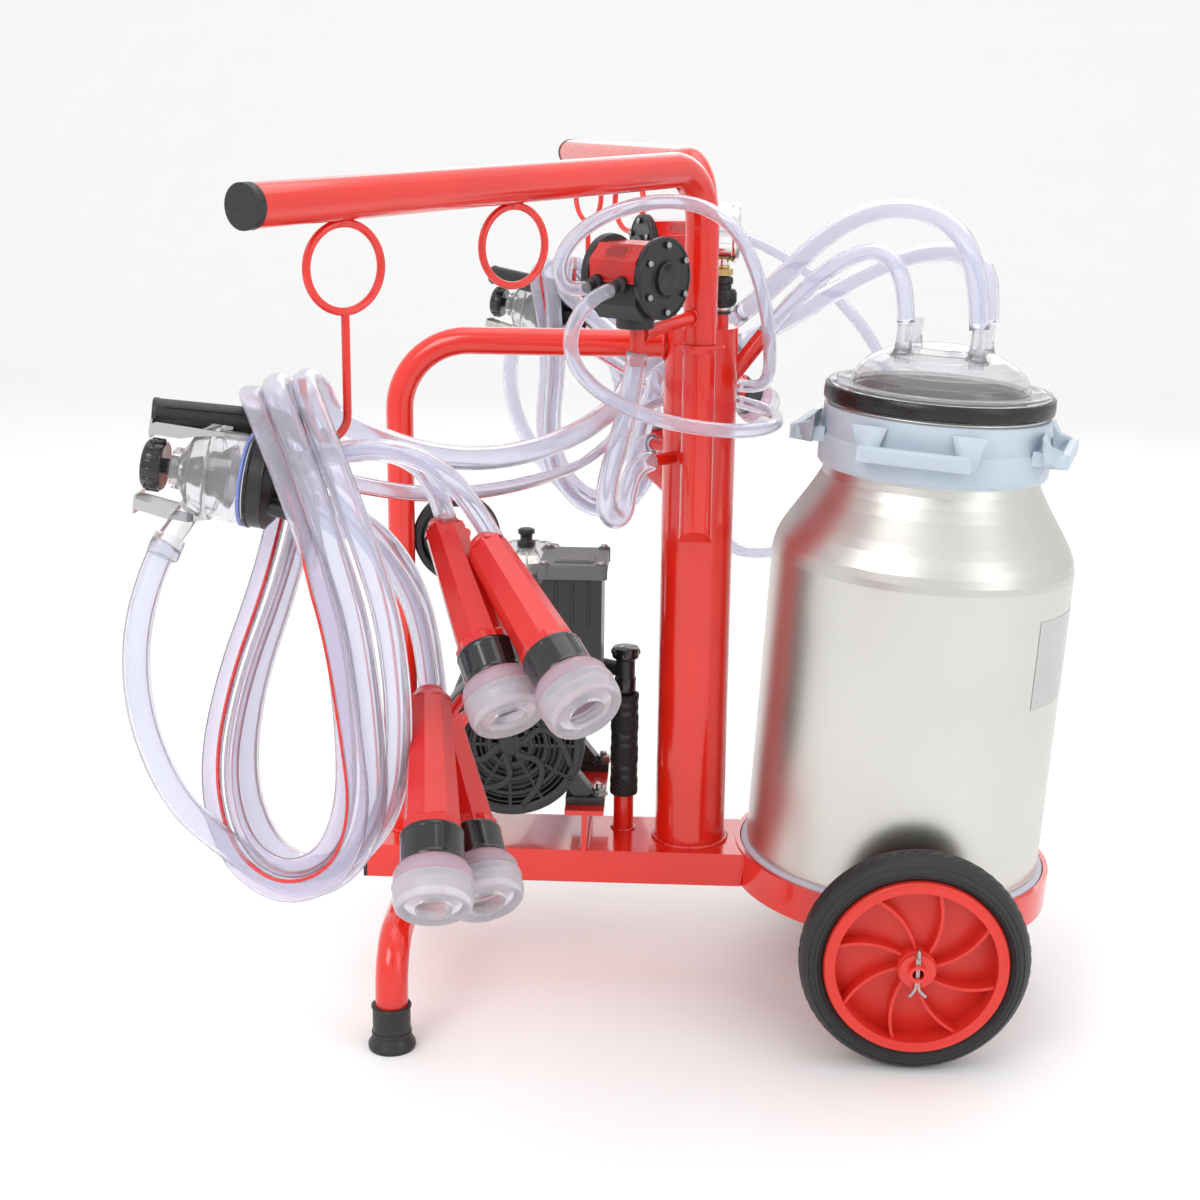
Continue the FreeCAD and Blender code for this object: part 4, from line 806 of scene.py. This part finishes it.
def head_ribs(work):
    base = Matrix.Translation(at(-181, 114, 391.1))
    for number in range(16):
        turn = 2 * math.pi * number / 16 + 0.1
        out = Vector((math.cos(turn), math.sin(turn), 0))
        path = [base @ (out * r + Vector((0, 0, z))) for r, z in ((0.0462, 0.010), (0.0465, 0.024), (0.0440,
            0.036), (0.0360, 0.0432), (0.0230, 0.0462))]
        sweep(work, path, [[(0.0012, -0.001), (0.0008, 0.0014), (-0.0008, 0.0014), (-0.0012, -0.001)]], out)


piece("pump_head_fittings", mesh_of(head_fittings), "frame", BLACK)
piece("pump_head_ribs", mesh_of(head_ribs), "frame", CAST)

RISER_FOOT = Matrix.Translation(at(-70, 18, 155.7))


def riser_sleeve(work):
    """Woven sleeve with a little slack in it."""
    outline = [(0.0112, 0.0395)]
    for step in range(55):
        share = step / 54
        outline.append((0.01425 + 0.00025 * math.sin(step * 1.1) + 0.0003 * math.sin(step * 0.37),
            0.0395 + 0.109 * share))
    lathe(work, outline + [(0.0104, 0.1485)], RISER_FOOT, 44)


def tee_trim(work):
    top = RISER_FOOT @ Matrix.Translation((0, 0, 0.138))
    lathe(work, [(0.0102, 0.011), (0.0112, 0.012), (0.0112, 0.028), (0.0102, 0.029)], top, 40)
    lathe(work, [(0.0102, 0.048), (0.0136, 0.050), (0.0142, 0.052), (0.0142, 0.0595), (0.0132, 0.0608), (0,
        0.0612)], top, 40)
    for number in range(8):
        turn = 2 * math.pi * number / 8
        spot = top @ Vector((0.0141 * math.cos(turn), 0.0141 * math.sin(turn), 0.056))
        lathe(work, [(0, -0.0028), (0.0011, -0.0022), (0.0011, 0.0022), (0, 0.0028)],
            Matrix.Translation(spot), 8)


piece("riser_sleeve_woven", mesh_of(riser_sleeve), "frame", SLEEVE)
piece("riser_tee_trim", mesh_of(tee_trim), "frame", BLACK_GLOSS)


# ---------------------------------------------------------------- gauge and regulator details
GAUGE_FACE = frame_at(at(25.2, 2, 778), (1, 0, 0))


def dial(work):
    lathe(work, [(0, 0), (0.0236, 0), (0.0236, 0.0005), (0.0026, 0.0005)], GAUGE_FACE, 64)


def dial_marks(work):
    for number in range(28):
        turn = math.radians(-135 + 270 * number / 27)
        long = 0.0042 if number % 3 == 0 else 0.0022
        start = GAUGE_FACE @ Vector((0.0218 * math.sin(turn), 0.0218 * math.cos(turn), 0.0007))
        end = GAUGE_FACE @ Vector(((0.0218 - long) * math.sin(turn), (0.0218 - long) * math.cos(turn),
            0.0007))
        sweep(work, [start, start.lerp(end, 0.5), end], [[(0.00035, -0.0001), (0.00035, 0.0001), (-0.00035,
            0.0001), (-0.00035, -0.0001)]], (1, 0, 0))


def gauge_rim(work):
    lathe(work, [(0.0234, 0.0006), (0.0236, 0.0078), (0.0262, 0.0092), (0.0279, 0.0078), (0.0281, 0.0020),
        (0.0273, 0.0012)], GAUGE_FACE, 72)
    lathe(work, [(0.0271, -0.0150), (0.0280, -0.0160), (0.0280, -0.0205), (0.0262, -0.0222), (0, -0.0226)],
        GAUGE_FACE, 72)


def gauge_glass(work):
    lathe(work, [(0, 0.0066), (0.0234, 0.0064), (0.0234, 0.0074), (0, 0.0078)], GAUGE_FACE, 64)


def brass_fitting(work):
    foot = Matrix.Translation(at(19, 2, 736.5))
    lathe(work, [(0.0056, 0.0), (0.0100, 0.0008), (0.0100, 0.0072), (0.0056, 0.008)], foot, 6)
    lathe(work, [(0.0056, 0.0078), (0.0068, 0.0082), (0.0068, 0.0106), (0.0056, 0.0110)], foot, 32)


def regulator_trim(work):
    foot = Matrix.Translation(at(19, 2, 700.1))
    lathe(work, [(0.0127, 0.0085), (0.0134, 0.0095), (0.0134, 0.0225), (0.0127, 0.0235)], foot, 48)
    for number in range(20):
        turn = 2 * math.pi * number / 20
        spot = foot @ Vector((0.0133 * math.cos(turn), 0.0133 * math.sin(turn), 0.016))
        lathe(work, [(0, -0.0056), (0.0010, -0.0048), (0.0010, 0.0048), (0, 0.0056)],
            Matrix.Translation(spot), 8)
    lathe(work, [(0.0091, 0.0285), (0.0104, 0.0290), (0.0104, 0.0350), (0.0062, 0.0366)], foot, 40)


def regulator_band(work):
    foot = Matrix.Translation(at(19, 2, 700.1))
    lathe(work, [(0.0091, 0.0030), (0.0100, 0.0034), (0.0100, 0.0070), (0.0091, 0.0074)], foot, 40)


piece("gauge_dial", mesh_of(dial), "frame", WHITE, smooth=False)
piece("gauge_marks", mesh_of(dial_marks), "frame", INK_AND_SHADE_BLACK, smooth=False)
piece("gauge_rim", mesh_of(gauge_rim), "frame", CHROME)
piece("gauge_glass", mesh_of(gauge_glass), "frame", CLEAR)
piece("gauge_fitting", mesh_of(brass_fitting), "frame", BRASS, smooth=False)
piece("regulator_trim", mesh_of(regulator_trim), "frame", BLACK)
piece("regulator_band", mesh_of(regulator_band), "frame", CAST)


# ---------------------------------------------------------------- pulsator details
PULSATOR = frame_at(along_arm(112, 745), (0, 0, 1))
PULSATOR = Matrix.Translation(along_arm(112, 745)) @ Matrix.Rotation(math.atan2(-0.60, 0.80), 4, "Z")


def pulsator_place(x, y, z):
    return PULSATOR @ Vector((x / 1000, y / 1000, z / 1000))


def vent_panel(work):
    """Raised octagonal panels on the sloping shoulders."""
    for side in (-1, 1):
        slope = frame_at(pulsator_place(0, side * 27.0, 27.0), PULSATOR.to_3x3() @ Vector((0, side, 1)),
            PULSATOR.to_3x3() @ Vector((0, 0, 1)))
        lathe_points = []
        for x, y in ((-15, -4), (-11, -7.5), (11, -7.5), (15, -4), (15, 4), (11, 7.5), (-11, 7.5), (-15, 4)):
            lathe_points.append((x / 1000, y / 1000))
        low = [work.verts.new(slope @ Vector((x, y, -0.0002))) for x, y in lathe_points]
        high = [work.verts.new(slope @ Vector((x * 0.93, y * 0.88, 0.0010))) for x, y in lathe_points]
        for k in range(8):
            work.faces.new((low[k], low[(k + 1) % 8], high[(k + 1) % 8], high[k]))
        work.faces.new(high)
    seam = [(-26.4, -34.4), (26.4, -34.4), (26.4, 34.4), (-26.4, 34.4), (-26.4, -34.4)]
    corners = [pulsator_place(x, y, 1.6) for x, y in seam]
    for one, two in zip(corners, corners[1:]):
        sweep(work, line(one, two, 2), [circle(0.0007, 6)], (0, 0, 1))


# Black discs for the vent holes and black strips for the slits: painted shade standing in for the openings,
# not cut holes.
def vent_hole_painted_shade(work):
    for side in (-1, 1):
        slope = frame_at(pulsator_place(0, side * 27.0, 27.0), PULSATOR.to_3x3() @ Vector((0, side, 1)),
            PULSATOR.to_3x3() @ Vector((0, 0, 1)))
        for row in range(5):
            count = 9 if row in (1, 2, 3) else 7
            for column in range(count):
                spot = slope @ Vector(((column - (count - 1) / 2) * 0.0027, (row - 2) * 0.0025, 0.00102))
                lathe(work, [(0, 0.0002), (0.0008, 0.0002), (0.0008, 0)], frame_at(spot,
                    slope.to_3x3().col[2]), 8)
        for number in range(3):
            for x in (-13, 11):
                start = pulsator_place(x - 6, side * 33.15, -3 - 4.2 * number)
                end = pulsator_place(x + 6, side * 33.15, -3 - 4.2 * number)
                sweep(work, line(start, end, 2), [[(0.0007, -0.0003), (0.0007, 0.0003), (-0.0007, 0.0003),
                    (-0.0007, -0.0003)]], PULSATOR.to_3x3() @ Vector((0, side, 0)))


def cover_trim(work):
    """Rolled rims, raised discs and spigot collars on the black lower half."""
    for side in (-1, 1):
        base = frame_at(pulsator_place(side * 34, 0, 4), PULSATOR.to_3x3() @ Vector((side, 0, 0)))
        lathe(work, [(0.0361, -0.0060), (0.0366, -0.0050), (0.0366, -0.0012), (0.0352, 0.0004), (0.0335,
            0.0006)], base, 72)
        lathe(work, [(0.0148, 0.0029), (0.0153, 0.0034), (0.0146, 0.0040), (0.0130, 0.0040), (0.0126,
            0.0034), (0, 0.0033)], base, 56)
        lathe(work, [(0.0166, 0.0001), (0.0172, 0.0007), (0.0178, 0.0001)], base, 56)
    for x in (-16, 12):
        spot = frame_at(pulsator_place(x, -44, -1.9), PULSATOR.to_3x3() @ Vector((0, -22, -6)))
        lathe(work, [(0.0046, -0.012), (0.0066, -0.011), (0.0066, -0.004), (0.0046, -0.003)], spot, 28)
        lathe(work, [(0.0045, 0.002), (0.0054, 0.0036), (0.0045, 0.0060)], spot, 28)
    base = frame_at(pulsator_place(0, 0, -42), (0, 0, 1))
    lathe(work, [(0.0155, -0.0002), (0.0170, 0.0006), (0.0174, 0.0020), (0.0174, 0.0130), (0.0168, 0.0142)],
        base, 56)


def cover_screws(work):
    for side in (-1, 1):
        for step in range(6):
            turn = math.radians(60 * step + 30)
            place = pulsator_place(side * 36.0, 29.5 * math.cos(turn), 4 + 29.5 * math.sin(turn))
            pan_screw(work, place, PULSATOR.to_3x3() @ Vector((side, 0, 0)), 0.0029)


both("pulsator_panels", vent_panel, RED_PLASTIC, smooth=False)
# Vent holes and slits as black marks: painted shade of the openings.
both("pulsator_vent_painted_shade", vent_hole_painted_shade, INK_AND_SHADE_BLACK, smooth=False)
both("pulsator_trim", cover_trim, BLACK)
both("pulsator_screws", cover_screws, ZINC)


# ---------------------------------------------------------------- claw and teat cup details
CLAW_AXIS = Vector((-0.99, 0.0, 0.14)).normalized()
CLAW = frame_at(at(-320, -517, 631), CLAW_AXIS)


def claw_place(along, up, across):
    side = CLAW_AXIS.cross(Vector((0, 0, 1))).normalized()
    return at(-320, -517, 631) + (CLAW_AXIS * along + side.cross(CLAW_AXIS) * up + side * across) / 1000


def bracket_plates(work):
    """Bent stainless plates that hold the bowl and guide the valve's knob."""
    upper = ((30, 34.5), (80, 34.5), (85, 32), (85, 25), (62, 25), (52, 28), (30, 32))
    lower = ((34, -31), (52, -36), (60, -37), (92, -32), (92, -25), (66, -28), (46, -30))
    for outline, across in ((upper, -13), (upper, 13), (lower, -12), (lower, 12)):
        front = [work.verts.new(claw_place(a, u, across - 0.8)) for a, u in outline]
        back = [work.verts.new(claw_place(a, u, across + 0.8)) for a, u in outline]
        work.faces.new(front)
        work.faces.new(back)
        for k in range(len(outline)):
            n = (k + 1) % len(outline)
            work.faces.new((front[k], front[n], back[n], back[k]))
    for along, up in ((84.2, 29), (91.2, -29)):
        low = [claw_place(along + a, up + u, c) for c in (-12.5, 12.5) for a, u in ((-0.8, -7), (0.8, -7),
            (0.8, 7), (-0.8, 7))]
        corners = [work.verts.new(p) for p in low]
        work.faces.new(corners[:4])
        work.faces.new(corners[4:])
        for k in range(4):
            n = (k + 1) % 4
            work.faces.new((corners[k], corners[n], corners[4 + n], corners[4 + k]))


def claw_rings(work):
    """Seal rings between the bowl and the nipple block."""
    for start, radius in ((6.4, 35.0), (-5.0, 34.2)):
        lathe(work, [((radius - 2.5) / 1000, start / 1000), (radius / 1000, (start + 0.6) / 1000),
            (radius / 1000, (start + 3.0) / 1000), ((radius - 2.5) / 1000, (start + 3.6) / 1000)], CLAW, 72)


def claw_blue(work):
    lathe(work, [(0.0330, 0.0106), (0.0347, 0.0110), (0.0350, 0.0132), (0.0334, 0.0140)], CLAW, 72)


def bowl_core(work):
    """Black valve seat and its cone, seen through the clear bowl."""
    lathe(work, [(0, 0.0240), (0.0150, 0.0240), (0.0166, 0.0252), (0.0168, 0.0400), (0.0160, 0.0410),
        (0.0122, 0.0416), (0.0118, 0.0480), (0.0088, 0.0580), (0.0050, 0.0590), (0.0050, 0.0720), (0,
        0.0720)], CLAW, 64)


def bowl_bands(work):
    lathe(work, [(0.0330, 0.0360), (0.0342, 0.0366), (0.0342, 0.0386), (0.0328, 0.0392)], CLAW, 72)
    lathe(work, [(0.0142, 0.0610), (0.0154, 0.0616), (0.0154, 0.0668), (0.0142, 0.0676)], CLAW, 56)
    lathe(work, [(0.0092, 0.0), (0.0116, 0.001), (0.0120, 0.004), (0.0120, 0.015), (0.0112, 0.0165), (0.0101,
        0.0165)], frame_at(at(-386, -538, 594), Vector((-11, -14, -28))), 40)


def valve_knob(work):
    """Ribbed grip round the shut-off valve's knob."""
    lathe(work, [(0.0172, 0.0742), (0.0183, 0.0750), (0.0183, 0.0872), (0.0166, 0.0886), (0.0120, 0.0890),
        (0.0112, 0.0878), (0, 0.0876)], CLAW, 64)
    for number in range(14):
        turn = 2 * math.pi * number / 14
        spot = CLAW @ Vector((0.0181 * math.cos(turn), 0.0181 * math.sin(turn), 0.0810))
        lathe(work, [(0, -0.0056), (0.0016, -0.0046), (0.0016, 0.0046), (0, 0.0056)], frame_at(spot,
            CLAW_AXIS), 10)


def handle_trim(work):
    start, end = at(-293, -476, 664), at(-404, -504, 678)
    way = (end - start).normalized()
    for spot in (start, end):
        lathe(work, [(0.0090, -0.0012), (0.0112, -0.0006), (0.0120, 0.0008), (0.0120, 0.0036), (0.0114,
            0.0046)], frame_at(spot if spot == start else end, way if spot == start else -way), 44)
    lathe(work, [(0, 0.0006), (0.0094, 0.0006), (0.0098, -0.0006), (0.0104, -0.0012)], frame_at(end, way),
        44)


# A thin black strip along the handle's upper side in place of its slot: painted shade of the groove, not a
# cut groove.
def painted_slot_shade(work):
    start, end = at(-293, -476, 664), at(-404, -504, 678)
    way = (end - start).normalized()
    side = way.cross(Vector((0, 0, 1))).normalized()
    up = side.cross(way)
    out = (up * 0.62 - side * 0.78 if side.y > 0 else up * 0.62 + side * 0.78).normalized()
    sweep(work, line(start.lerp(end, 0.28) + out * 0.01215, start.lerp(end, 0.93) + out * 0.01215, 4),
        [[(0.0007, -0.0003), (0.0007, 0.0003), (-0.0007, 0.0003), (-0.0007, -0.0003)]], out)


both("claw_brackets", bracket_plates, STAINLESS, smooth=False)
both("claw_seals", claw_rings, GASKET)
both("claw_ring", claw_blue, BLUE)
both("claw_bowl_core", bowl_core, BLACK_GLOSS)
both("claw_bowl_bands", bowl_bands, CLEAR)
both("claw_handle_trim", handle_trim, BLACK)
# Slot line as a black strip: painted shade.
both("claw_slot_painted_shade", painted_slot_shade, INK_AND_SHADE_BLACK, smooth=False)
both("claw_valve_grip", valve_knob, BLACK_GLOSS, near="valve_near", far="valve_far")

CUPS = (((-191, -500, 594), (-132, -610, 484)), ((-156, -531, 588), (-80, -643, 507)), ((-195, -562, 481),
    (-178, -682, 378)), ((-195, -507, 452), (-170, -571, 402)))


def cup_base(cup):
    return frame_at(at(*cup[0]), at(*cup[1]) - at(*cup[0]))


def cup_bands(work):
    for cup in CUPS:
        lathe(work, [(0.0226, 0.1342), (0.0246, 0.1345), (0.0256, 0.1360), (0.0262, 0.1440), (0.0276,
            0.1462), (0.0272, 0.1470)], cup_base(cup), 64)


def cup_lips(work):
    """Rolled clear rims round the mouthpiece."""
    for cup in CUPS:
        base = cup_base(cup)
        lathe(work, [(0.0272, 0.1468), (0.0284, 0.1476), (0.0286, 0.1492), (0.0278, 0.1504), (0.0280,
            0.1560), (0.0276, 0.1610), (0.0262, 0.1648), (0.0246, 0.1664), (0.0228, 0.1662), (0.0212,
            0.1640)], base, 64)


def cup_collars(work):
    """Turned edges of the black sleeves and the steps under the shells."""
    for cup in CUPS:
        base = cup_base(cup)
        lathe(work, [(0.0216, 0.1082), (0.0222, 0.1088), (0.0226, 0.1104), (0.0224, 0.1120)], base, 64)
        lathe(work, [(0.0224, 0.1300), (0.0228, 0.1312), (0.0228, 0.1334), (0.0218, 0.1342)], base, 64)


def shell_caps(work):
    """Bevelled tops and foot rims of the eight-sided shells."""
    for cup in CUPS:
        base = cup_base(cup)
        tip = []
        for radius, height in ((0.0158, 0.0022), (0.0154, -0.0004), (0.0128, -0.0036), (0.0092, -0.0046)):
            tip.append([work.verts.new(base @ Vector((radius * math.cos(math.radians(45 * k + 22.5)),
                radius * math.sin(math.radians(45 * k + 22.5)), height))) for k in range(8)])
        for low, high in zip(tip, tip[1:]):
            for k in range(8):
                work.faces.new((low[k], low[(k + 1) % 8], high[(k + 1) % 8], high[k]))
        foot = []
        for radius, height in ((0.0203, 0.1010), (0.0213, 0.1022), (0.0214, 0.1078), (0.0204, 0.1081)):
            foot.append([work.verts.new(base @ Vector((radius * math.cos(math.radians(45 * k + 22.5)),
                radius * math.sin(math.radians(45 * k + 22.5)), height))) for k in range(8)])
        for low, high in zip(foot, foot[1:]):
            for k in range(8):
                work.faces.new((low[k], low[(k + 1) % 8], high[(k + 1) % 8], high[k]))


both("cup_bands", cup_bands, BAND)
both("cup_lips", cup_lips, LINER)
both("cup_collars", cup_collars, BLACK_GLOSS)
both("cup_shell_edges", shell_caps, RED_PLASTIC, smooth=False)


# ---------------------------------------------------------------- can and wheel details
TILT = Matrix.Translation(CAN_MIDDLE) @ Matrix.Rotation(math.radians(2.98), 4, "Y")


def can_label(work):
    """A plain foil patch, slightly proud of the can."""
    rows = []
    for up in range(9):
        z = 0.193 + 0.089 * up / 8
        rows.append([work.verts.new(TILT @ Vector((0.15025 * math.cos(math.radians(t)),
            0.15025 * math.sin(math.radians(t)), z))) for t in [-46 + 36 * k / 14 for k in range(15)]])
    for low, high in zip(rows, rows[1:]):
        for k in range(14):
            work.faces.new((low[k], low[k + 1], high[k + 1], high[k]))


def can_seams(work):
    """The turned bead at the can's foot and the rolled lip under the gasket."""
    for radius, height, size in ((0.1502, 0.0060, 0.0008), (0.1066, 0.4640, 0.0012)):
        lathe(work, [(radius - size, height - 2 * size), (radius + size * 0.3, height - size),
            (radius + size * 0.4, height), (radius - size, height + 2 * size)], TILT, 120)


def collar_loops(work):
    """Rounded bars, flared feet and soft edges of the neck collar."""
    lathe(work, [(0.1120, 0.4052), (0.1132, 0.4066), (0.1133, 0.4090), (0.1133, 0.4310), (0.1126, 0.4332),
        (0.1114, 0.4352)], TILT, 120)
    lathe(work, [(0.1106, 0.4340), (0.1114, 0.4350), (0.1114, 0.4606), (0.1106, 0.4624), (0.1066, 0.4626)],
        TILT, 120)
    soft = [(0.0049 * math.copysign(abs(math.cos(t)) ** 0.5, math.cos(t)),
        0.0077 * math.copysign(abs(math.sin(t)) ** 0.5,
        math.sin(t))) for t in (k * math.pi / 12 for k in range(24))]
    for quarter in range(4):
        turn = TILT @ Matrix.Rotation(math.radians(90 * quarter - 15.6), 4, "Z")
        bar = [(0.1120, -0.0478), (0.1250, -0.0500), (0.1296, -0.0490), (0.1304, -0.0430), (0.1305, 0.0),
            (0.1304, 0.0430), (0.1296, 0.0490), (0.1250, 0.0500), (0.1120, 0.0478)]
        sweep(work, nurbs_line([turn @ Vector((x, y, 0.433)) for x, y in bar], 6), [soft], (0, 0, 1))
        for y in (-1, 1):
            web = [((0.1085, y * 0.0300, 0.4560), (0.1085, y * 0.0640, 0.4560)), ((0.1160, y * 0.0360,
                0.4440), (0.1160, y * 0.0580, 0.4440)), ((0.1290, y * 0.0425, 0.4405), (0.1290, y * 0.0528,
                0.4405)), ((0.1290, y * 0.0430, 0.4260), (0.1290, y * 0.0524, 0.4260)), ((0.1120, y * 0.0400,
                0.4250), (0.1120, y * 0.0550, 0.4250))]
            rows = [[work.verts.new(turn @ Vector(p)) for p in pair] for pair in web]
            for one, two in zip(rows, rows[1:]):
                work.faces.new((one[0], one[1], two[1], two[0]))
            work.faces.new([row[0] for row in rows])
            work.faces.new([row[1] for row in rows])


piece("can_label", mesh_of(can_label), "can", FOIL)
piece("can_seams", mesh_of(can_seams), "can", CAN)
piece("can_collar_loops", mesh_of(collar_loops), "can", CAN_PLASTIC)


def base_ring_cover(work):
    lathe(work, [(0.1500, 0.0024), (0.1554, 0.0012), (0.1558, -0.0010), (0.1568, -0.0240), (0.1545,
        -0.0298)], TILT, 120)


def lid_trim(work):
    """Raised rims of the clear lid and the flared roots of its nozzles."""
    lathe(work, [(0.0880, 0.4850), (0.0900, 0.4858), (0.0960, 0.4856), (0.0965, 0.4866), (0.1040, 0.4864),
        (0.1072, 0.4858), (0.1086, 0.4846)], TILT, 120)
    for quarter in range(4):
        turn = math.radians(-60 + 90 * quarter)
        foot = TILT @ Matrix.Translation((0.05 * math.cos(turn), 0.05 * math.sin(turn), 0.508))
        lathe(work, [(0.0125, 0.0075), (0.0100, 0.0100), (0.0084, 0.0140), (0.0078, 0.0200)], foot, 36)


def gasket(work):
    """Black rubber channel that grips the lid's edge."""
    lathe(work, [(0.1062, 0.4664), (0.1105, 0.4664), (0.1120, 0.4672), (0.1125, 0.4690), (0.1126, 0.4760),
        (0.1122, 0.4812), (0.1112, 0.4822), (0.1088, 0.4822), (0.1084, 0.4812), (0.1084, 0.4800), (0.1062,
        0.4800), (0.1062, 0.4664)], TILT, 144)


piece("can_base_ring_cover", mesh_of(base_ring_cover), "can", CAN_BASE)
piece("lid_trim", mesh_of(lid_trim), "lid", CLEAR)
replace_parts(piece("lid_gasket_band", mesh_of(gasket), "lid", GASKET), "lid_gasket")


def tyre_lines(side):
    base = frame_at(at(216.2, side * 185, 109.9), (0, side, 0))

    def build(work):
        for face in (-1, 1):
            for radius, height in ((0.0925, 0.0209), (0.0972, 0.0205), (0.1024, 0.0176)):
                lathe(work, [(radius - 0.0011, face * (height - 0.0006)), (radius, face * (height + 0.0006)),
                    (radius + 0.0011, face * (height - 0.0008))], base, 96)
        for number in range(54):
            turn = 2 * math.pi * number / 54
            for row in (-1, 1):
                lean = row * 0.035
                corners = []
                for r in (0.1090, 0.11035):
                    for a, h in ((-0.030, 0.0006), (0.030, 0.0006), (0.030, 0.0052), (-0.030, 0.0052)):
                        angle = turn + a + lean * (h / 0.005)
                        corners.append(work.verts.new(base @ Vector((r * math.cos(angle),
                            r * math.sin(angle), row * h))))
                work.faces.new(corners[:4])
                work.faces.new(corners[4:])
                for k in range(4):
                    n = (k + 1) % 4
                    work.faces.new((corners[k], corners[n], corners[4 + n], corners[4 + k]))
    return build


def cotter_pin(work):
    """Split pins through the axle's ends, their legs bent apart."""
    for side in (-1, 1):
        y = side * 215.5
        eye = arc(at(216.2, y, 128.9), (1, 0, 0), 0.0041, -60, 300, 28)
        sweep(work, eye, [circle(0.0017, 10)], (1, 0, 0))
        for leg, spread in ((-0.9, -7), (0.9, 9)):
            path = [at(216.2 + leg, y, 126), at(216.2 + leg, y, 112), at(216.2 + leg, y, 97),
                at(216.2 + leg * 2, y, 92.4), at(216.2 + spread * 0.6, y, 88.5), at(216.2 + spread, y, 85.5)]
            sweep(work, nurbs_line(path, 6), [circle(0.00172, 10)], (0, 1, 0))


def hub_rings(side):
    base = frame_at(at(216.2, side * 185, 109.9), (0, side, 0))

    def build(work):
        lathe(work, [(0.0840, 0.0218), (0.0848, 0.0226), (0.0864, 0.0226), (0.0880, 0.0190), (0.0884,
            0.0150)], base, 96)
        lathe(work, [(0.0160, 0.0240), (0.0172, 0.0254), (0.0186, 0.0240), (0.0188, 0.0200)], base, 48)
    return build


for side, word in ((-1, "near"), (1, "far")):
    piece("tyre_tread_" + word, mesh_of(tyre_lines(side)), "wheel_" + word, TYRE,
        smooth=False)
    piece("wheel_rings_" + word, mesh_of(hub_rings(side)), "wheel_" + word, WHEEL_RED)
piece("cotter_pins", mesh_of(cotter_pin), "frame", ZINC)


def boot_ribs(work):
    for side in (-1, 1):
        base = Matrix.Translation(at(-288, side * 184, 0))
        for height, radius in ((0.0168, 0.0188), (0.0440, 0.0188)):
            lathe(work, [(radius - 0.001, height - 0.0018), (radius + 0.0008, height - 0.0008),
                (radius + 0.0008, height + 0.0008), (radius - 0.001, height + 0.0012)], base, 48)
        lathe(work, [(0.0225, 0.0012), (0.0232, 0.0020), (0.0232, 0.0052), (0.0222, 0.0062)], base, 48)


piece("boot_ribs", mesh_of(boot_ribs), "frame", RUBBER)


# ---------------------------------------------------------------- stage, light and camera
def sweep_floor(work):
    """A floor that curves up into a wall far behind the trolley."""
    bend, wall_y, width = 2.0, 6.0, 14.0
    outline = [(-9.0, 0.0), (wall_y - bend, 0.0)]
    outline += [(wall_y - bend + bend * math.sin(t),
        bend - bend * math.cos(t)) for t in (math.radians(6 * k) for k in range(1, 16))]
    outline.append((wall_y, 9.0))
    rows = [[work.verts.new((x, y, z)) for x in (-width, width)] for y, z in outline]
    for low, high in zip(rows, rows[1:]):
        work.faces.new((low[0], low[1], high[1], high[0]))


floor = piece("studio_floor", mesh_of(sweep_floor), None, surface("studio_floor_paint", (0.93, 0.93, 0.93),
    0.75, grain=20, tone=0.005, bump=0.01))
world = bpy.data.worlds.new("studio")
bpy.context.scene.world = world
world.use_nodes = True
world.node_tree.nodes["Background"].inputs["Color"].default_value = (1.0, 1.0, 1.0, 1)
world.node_tree.nodes["Background"].inputs["Strength"].default_value = 0.95


def area_light(name, place, aim, size, power, tint=(1, 1, 1)):
    data = bpy.data.lights.new(name, "AREA")
    data.shape, data.size, data.size_y = "RECTANGLE", size[0], size[1]
    data.energy, data.color = power, tint
    made = bpy.data.objects.new(name, data)
    bpy.context.scene.collection.objects.link(made)
    made.location = place
    made.rotation_euler = (Vector(aim) - Vector(place)).to_track_quat("-Z", "Y").to_euler()


area_light("key", (-1.6, -2.4, 2.6), (0, 0, 0.45), (1.6, 1.6), 34)
area_light("fill", (2.4, -1.8, 1.6), (0, 0, 0.4), (1.2, 2.0), 10)
area_light("top", (0.2, 0.3, 3.0), (0, 0, 0.4), (2.4, 2.4), 20)
area_light("back", (0.4, 2.8, 1.8), (0, 0, 0.5), (2.2, 1.6), 12)

yaw, pitch, roll = math.radians(-2.46), math.radians(15.01), math.radians(0.65)
forward = Vector((math.sin(yaw) * math.cos(pitch), math.cos(yaw) * math.cos(pitch), -math.sin(pitch)))
right = forward.cross(Vector((0, 0, 1))).normalized()
upward = right.cross(forward)
right_rolled = right * math.cos(roll) + upward * math.sin(roll)
up_rolled = upward * math.cos(roll) - right * math.sin(roll)
camera_data = bpy.data.cameras.new("camera")
camera_data.lens, camera_data.sensor_width = 57.47, 36.0
camera_data.clip_end = 50
camera = bpy.data.objects.new("camera", camera_data)
bpy.context.scene.collection.objects.link(camera)
spot = at(-15.76, -1878.5, 912.9)
camera.matrix_world = Matrix.Translation(spot) @ Matrix((right_rolled, up_rolled,
    -forward)).transposed().to_4x4()
bpy.context.scene.camera = camera
bpy.context.scene.view_settings.view_transform = "Standard"
